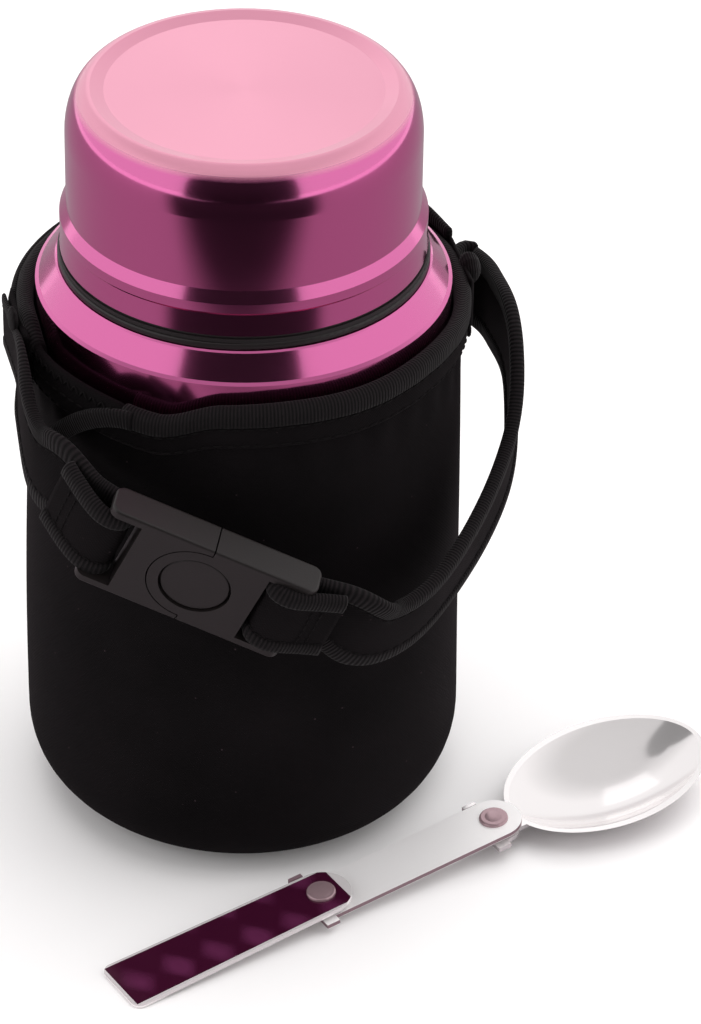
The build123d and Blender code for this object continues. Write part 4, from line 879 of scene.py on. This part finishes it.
band = bandLines(bandShape)
even = np.ones(len(band[4]))
bandShare = bandShape["half"] / max(a for a, h in tapeOutline)
bandPanel = sweepStrap("bandPanel", band, bandOutline(panelOutline, 1, bandShape["panelHeight"]), neopreneBlack,
                       even, even)
bandUpper = sweepStrap("bandTapeUpper", band, bandOutline(tapeOutline, 1, bandShape["tapeHeight"]), bindingTape,
                       even, even)
bandLower = sweepStrap("bandTapeLower", band, bandOutline(tapeOutline, -1, bandShape["tapeHeight"]), bindingTape,
                       even, even)
sets = [alongLine(band[0] + band[2] * a * bandShare + band[3] * bandShape["stitchHeight"], band[3],
                  strapCloth["stitchSpacing"]) for a in (-strapCloth["stitchAt"], strapCloth["stitchAt"])]
bandStitches = stitchPiece("bandStitches", sets, strapCloth["stitchLength"], strapCloth["stitchRadius"])
for piece in (bandPanel, bandUpper, bandLower, bandStitches):
    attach(piece, "sleeve")
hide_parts("strap_anchors")

# Loose end of the hem's tape, turned down and caught under the strap
tail = {"from": 243.0, "to": 217.0, "steps": 30, "radius": 54.75, "hangs": 138, "drop": 15.5, "bend": 1.7, "half": 2.4,
        "outline": [(-2.4, 0.1), (-2.2, 0.5), (-1.2, 0.72), (1.2, 0.72), (2.2, 0.5), (2.4, 0.1),
                    (2.4, -0.6), (0, -1.0), (-2.4, -0.6)]}
angles = np.radians(np.linspace(tail["from"], tail["to"], tail["steps"]))
fall = tail["drop"] * np.linspace(0, 1, tail["steps"]) ** tail["bend"]
centre = ringPoints(tail["radius"], angles, sleeve["hemTop"] - hemDip(angles, tail["hangs"]) - tail["half"] - fall)
run, face = runAlong(centre), ringPoints(1.0, angles, 0.0)
even = np.ones(tail["steps"])
hemTail = sweepStrap("hemTail", (centre, run, np.cross(face, run), face, lengthAlong(centre)), tail["outline"],
                     bindingTape, even, even)
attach(hemTail, "sleeve")

# Tack: a puckered button of built-up thread and rolled tape, flat on the left and a fat knob on the right
tackShapes = {-1: {"middle": 56.3, "radius": 3.2, "half": 1.2}, 1: {"middle": 56.0, "radius": 3.9, "half": 2.7},
              "rings": 13, "around": 36, "pucker": 0.04, "puckers": 9}


def tackRows(side):
    shape = tackShapes[side]
    rows = []
    for i in range(tackShapes["rings"]):
        tilt = math.radians(-90 + 180 * i / (tackShapes["rings"] - 1))
        ring = []
        for k in range(tackShapes["around"]):
            a = 2 * math.pi * k / tackShapes["around"]
            r = shape["radius"] * math.cos(tilt) * (1 + tackShapes["pucker"] * math.cos(tackShapes["puckers"] * a))
            ring.append(fromStrap((side * (shape["middle"] + shape["half"] * math.sin(tilt)), r * math.cos(a),
                                   strapRoute["pivot"] + r * math.sin(a))))
        rows.append(ring)
    return rows


for side, name in ((-1, "tackLeft"), (1, "tackRight")):
    tack = gridPiece(name, tackRows(side), bindingTape, wrapAcross=True,
                     uvs=(np.arange(tackShapes["rings"]) * 1.0, np.arange(tackShapes["around"]) * 0.8))
    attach(tack, "sleeve")
    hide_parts("strap_tacks")
print("straps, patches and tacks made")

# Domed heads on the spoon's rivets, from the level of the plate that each one clamps
rivets = {"places": ((58.0, 4.5, 1.15), (109.0, 2.25, 0.9)), "radius": 3.65, "rings": 11, "around": 40, "lift": 0.02}


def rivetRows(place, level, height):
    foot = Vector(spoonFrame["place"]) + spoonAlong * place + spoonNormal * level
    turns = [2 * math.pi * j / rivets["around"] for j in range(rivets["around"])]
    spokes = [spoonAlong * math.cos(t) + spoonAcross * math.sin(t) for t in turns]
    rows = [[foot + spoonNormal * rivets["lift"]] * rivets["around"]]
    for k in range(rivets["rings"]):
        a = math.radians(90 * k / (rivets["rings"] - 1))
        r, h = rivets["radius"] * math.cos(a), height * math.sin(a) ** 0.8 if k else 0.0
        rows.append([foot + spoke * r + spoonNormal * h for spoke in spokes])
    return rows


for name, sizes in zip(("rivetHeadHandle", "rivetHeadBowl"), rivets["places"]):
    dome = gridPiece(name, rivetRows(*sizes), rivetSteel, wrapAcross=True,
                     uvs=(np.arange(rivets["rings"] + 1) * 1.0, np.arange(rivets["around"]) * 0.6))
    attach(dome, "spoon_mid")
print("rivet heads made")

# The valve's coil shortens under its button, so a merged copy of the solid takes its place
coilMesh = nodes["valve_spring"].data.copy()
coilMesh.materials.clear()
valveCoil = newPiece("valveCoil", coilMesh, [satinSteel])
fixNormals(valveCoil)
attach(valveCoil, "stopper")
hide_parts("valve_spring")
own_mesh(valveCoil)
print("valve coil made")

# Stage: wide pale floor, bright walls all round under a darker ceiling, soft studio light
studio = {"floor": "#f4f2f2", "reach": 9.0, "wall": 0.92, "ceiling": 0.50, "wallTop": (0.60, 0.86),
          "key": 1.95, "keyAngle": 70, "keyTurn": (-12, 8, 0),
          "cardRadius": 1.7, "cardSides": 48, "cardLift": 0.0008, "cardMiddle": 0.02, "cardSpread": (0.85, 1.15),
          "cardEdge": 0.25, "cardFade": 0.05, "cardPale": "#8b8085", "cardDark": "#060304",
          "flagPlace": -1.65, "flagWide": 1.15, "flagTop": 2.2}
# Softboxes: name, place, aim, size, power and whether they show in reflections
softboxes = (("sideLeft", (-1.2, -0.5, 0.8), (0, 0, 0.1), (0.9, 1.3), 4.8, False),
             ("sideRight", (1.3, -0.1, 0.7), (0, 0, 0.1), (0.7, 1.3), 3.6, False),
             ("backPanel", (-0.2, 1.15, 0.95), (0, 0, 0.15), (0.5, 0.7), 0.35, True))


def studioFloor():
    reach = studio["reach"]
    mesh = bpy.data.meshes.new("studioFloor")
    corners = [(-reach, -reach, 0), (reach, -reach, 0), (reach, reach, 0), (-reach, reach, 0)]
    mesh.from_pydata(corners, [], [[0, 1, 2, 3]])
    material, tree, shader, coords = newMaterial("paperBackdropWhite", {
        "Base Color": toLinear(studio["floor"]), "Roughness": 0.7})
    floor = newPiece("studioFloor", mesh, [material])


# Toned cards, seen only in reflections: on the table pale near the jar and dark in front as if the table
# ended there, and a dark one standing in front, which together give the lid and shoulder their dark middle
def reflectedCard(name, points, material):
    mesh = bpy.data.meshes.new(name)
    mesh.from_pydata(points, [], [list(range(len(points)))])
    card = newPiece(name, mesh, [material])
    for ray in ("camera", "diffuse", "shadow", "transmission", "volume_scatter"):
        setattr(card, "visible_" + ray, False)


def tonedCards():
    material, tree, shader, coords = newMaterial("paperCardToned", {"Roughness": 0.9})
    split = addNode(tree, "ShaderNodeSeparateXYZ", links={0: coords["Object"]})
    sideways = addNode(tree, "ShaderNodeMath", {"operation": "ADD", 1: -studio["cardMiddle"]}, {0: split.outputs[0]})
    spread = addNode(tree, "ShaderNodeMath", {"operation": "DIVIDE"}, {0: sideways, 1: split.outputs[1]})
    apart = addNode(tree, "ShaderNodeMath", {"operation": "ABSOLUTE"}, {0: spread})
    inWidth = addNode(tree, "ShaderNodeMapRange", {
        "From Min": studio["cardSpread"][0], "From Max": studio["cardSpread"][1], "To Min": 1.0, "To Max": 0.0},
        {"Value": apart})
    inFront = addNode(tree, "ShaderNodeMapRange", {
        "From Min": -studio["cardEdge"] - studio["cardFade"], "From Max": -studio["cardEdge"],
        "To Min": 1.0, "To Max": 0.0}, {"Value": split.outputs[1]})
    dark = addNode(tree, "ShaderNodeMath", {"operation": "MULTIPLY"}, {0: inWidth, 1: inFront})
    tint = addNode(tree, "ShaderNodeMix", {
        "data_type": "RGBA", 6: toLinear(studio["cardPale"]), 7: toLinear(studio["cardDark"])}, {0: dark})
    tree.links.new(tint.outputs[2], shader.inputs["Base Color"])
    r = studio["cardRadius"]
    turns = [2 * math.pi * k / studio["cardSides"] for k in range(studio["cardSides"])]
    reflectedCard("tableCard", [(r * math.cos(a), r * math.sin(a), studio["cardLift"]) for a in turns], material)
    black, tree, shader, coords = newMaterial("paperCardBlack", {
        "Base Color": toLinear(studio["cardDark"]), "Roughness": 0.9})
    y, w, h = studio["flagPlace"], studio["flagWide"], studio["flagTop"]
    reflectedCard("frontCard", [(-w, y, 0), (w, y, 0), (w, y, h), (-w, y, h)], black)


def softbox(name, place, aim, size, power, mirrored):
    data = bpy.data.lights.new(name, "AREA")
    data.shape = "RECTANGLE"
    data.size, data.size_y = size
    data.energy = power
    lamp = bpy.data.objects.new(name, data)
    bpy.context.scene.collection.objects.link(lamp)
    lamp.location = place
    lamp.rotation_euler = (Vector(aim) - Vector(place)).to_track_quat("-Z", "Y").to_euler()
    lamp.visible_camera, lamp.visible_glossy = False, mirrored


studioFloor()
tonedCards()
sky = bpy.data.lights.new("keyOverhead", "SUN")
sky.energy, sky.angle = studio["key"], math.radians(studio["keyAngle"])
key = bpy.data.objects.new("keyOverhead", sky)
bpy.context.scene.collection.objects.link(key)
key.rotation_euler = [math.radians(turn) for turn in studio["keyTurn"]]
key.visible_glossy = False
for box in softboxes:
    softbox(*box)
world = bpy.data.worlds.new("studio")
world.use_nodes = True
tree = world.node_tree
background = tree.nodes["Background"]
background.inputs["Color"].default_value = (1.0, 0.99, 0.99, 1.0)
direction = addNode(tree, "ShaderNodeTexCoord")
split = addNode(tree, "ShaderNodeSeparateXYZ", links={0: direction.outputs["Generated"]})
addNode(tree, "ShaderNodeMapRange", {
    "From Min": studio["wallTop"][0], "From Max": studio["wallTop"][1],
    "To Min": studio["wall"], "To Max": studio["ceiling"]}, {"Value": split.outputs[2]}, background.inputs["Strength"])
bpy.context.scene.world = world
bpy.context.scene.view_settings.view_transform = "Standard"
print("stage and light set")
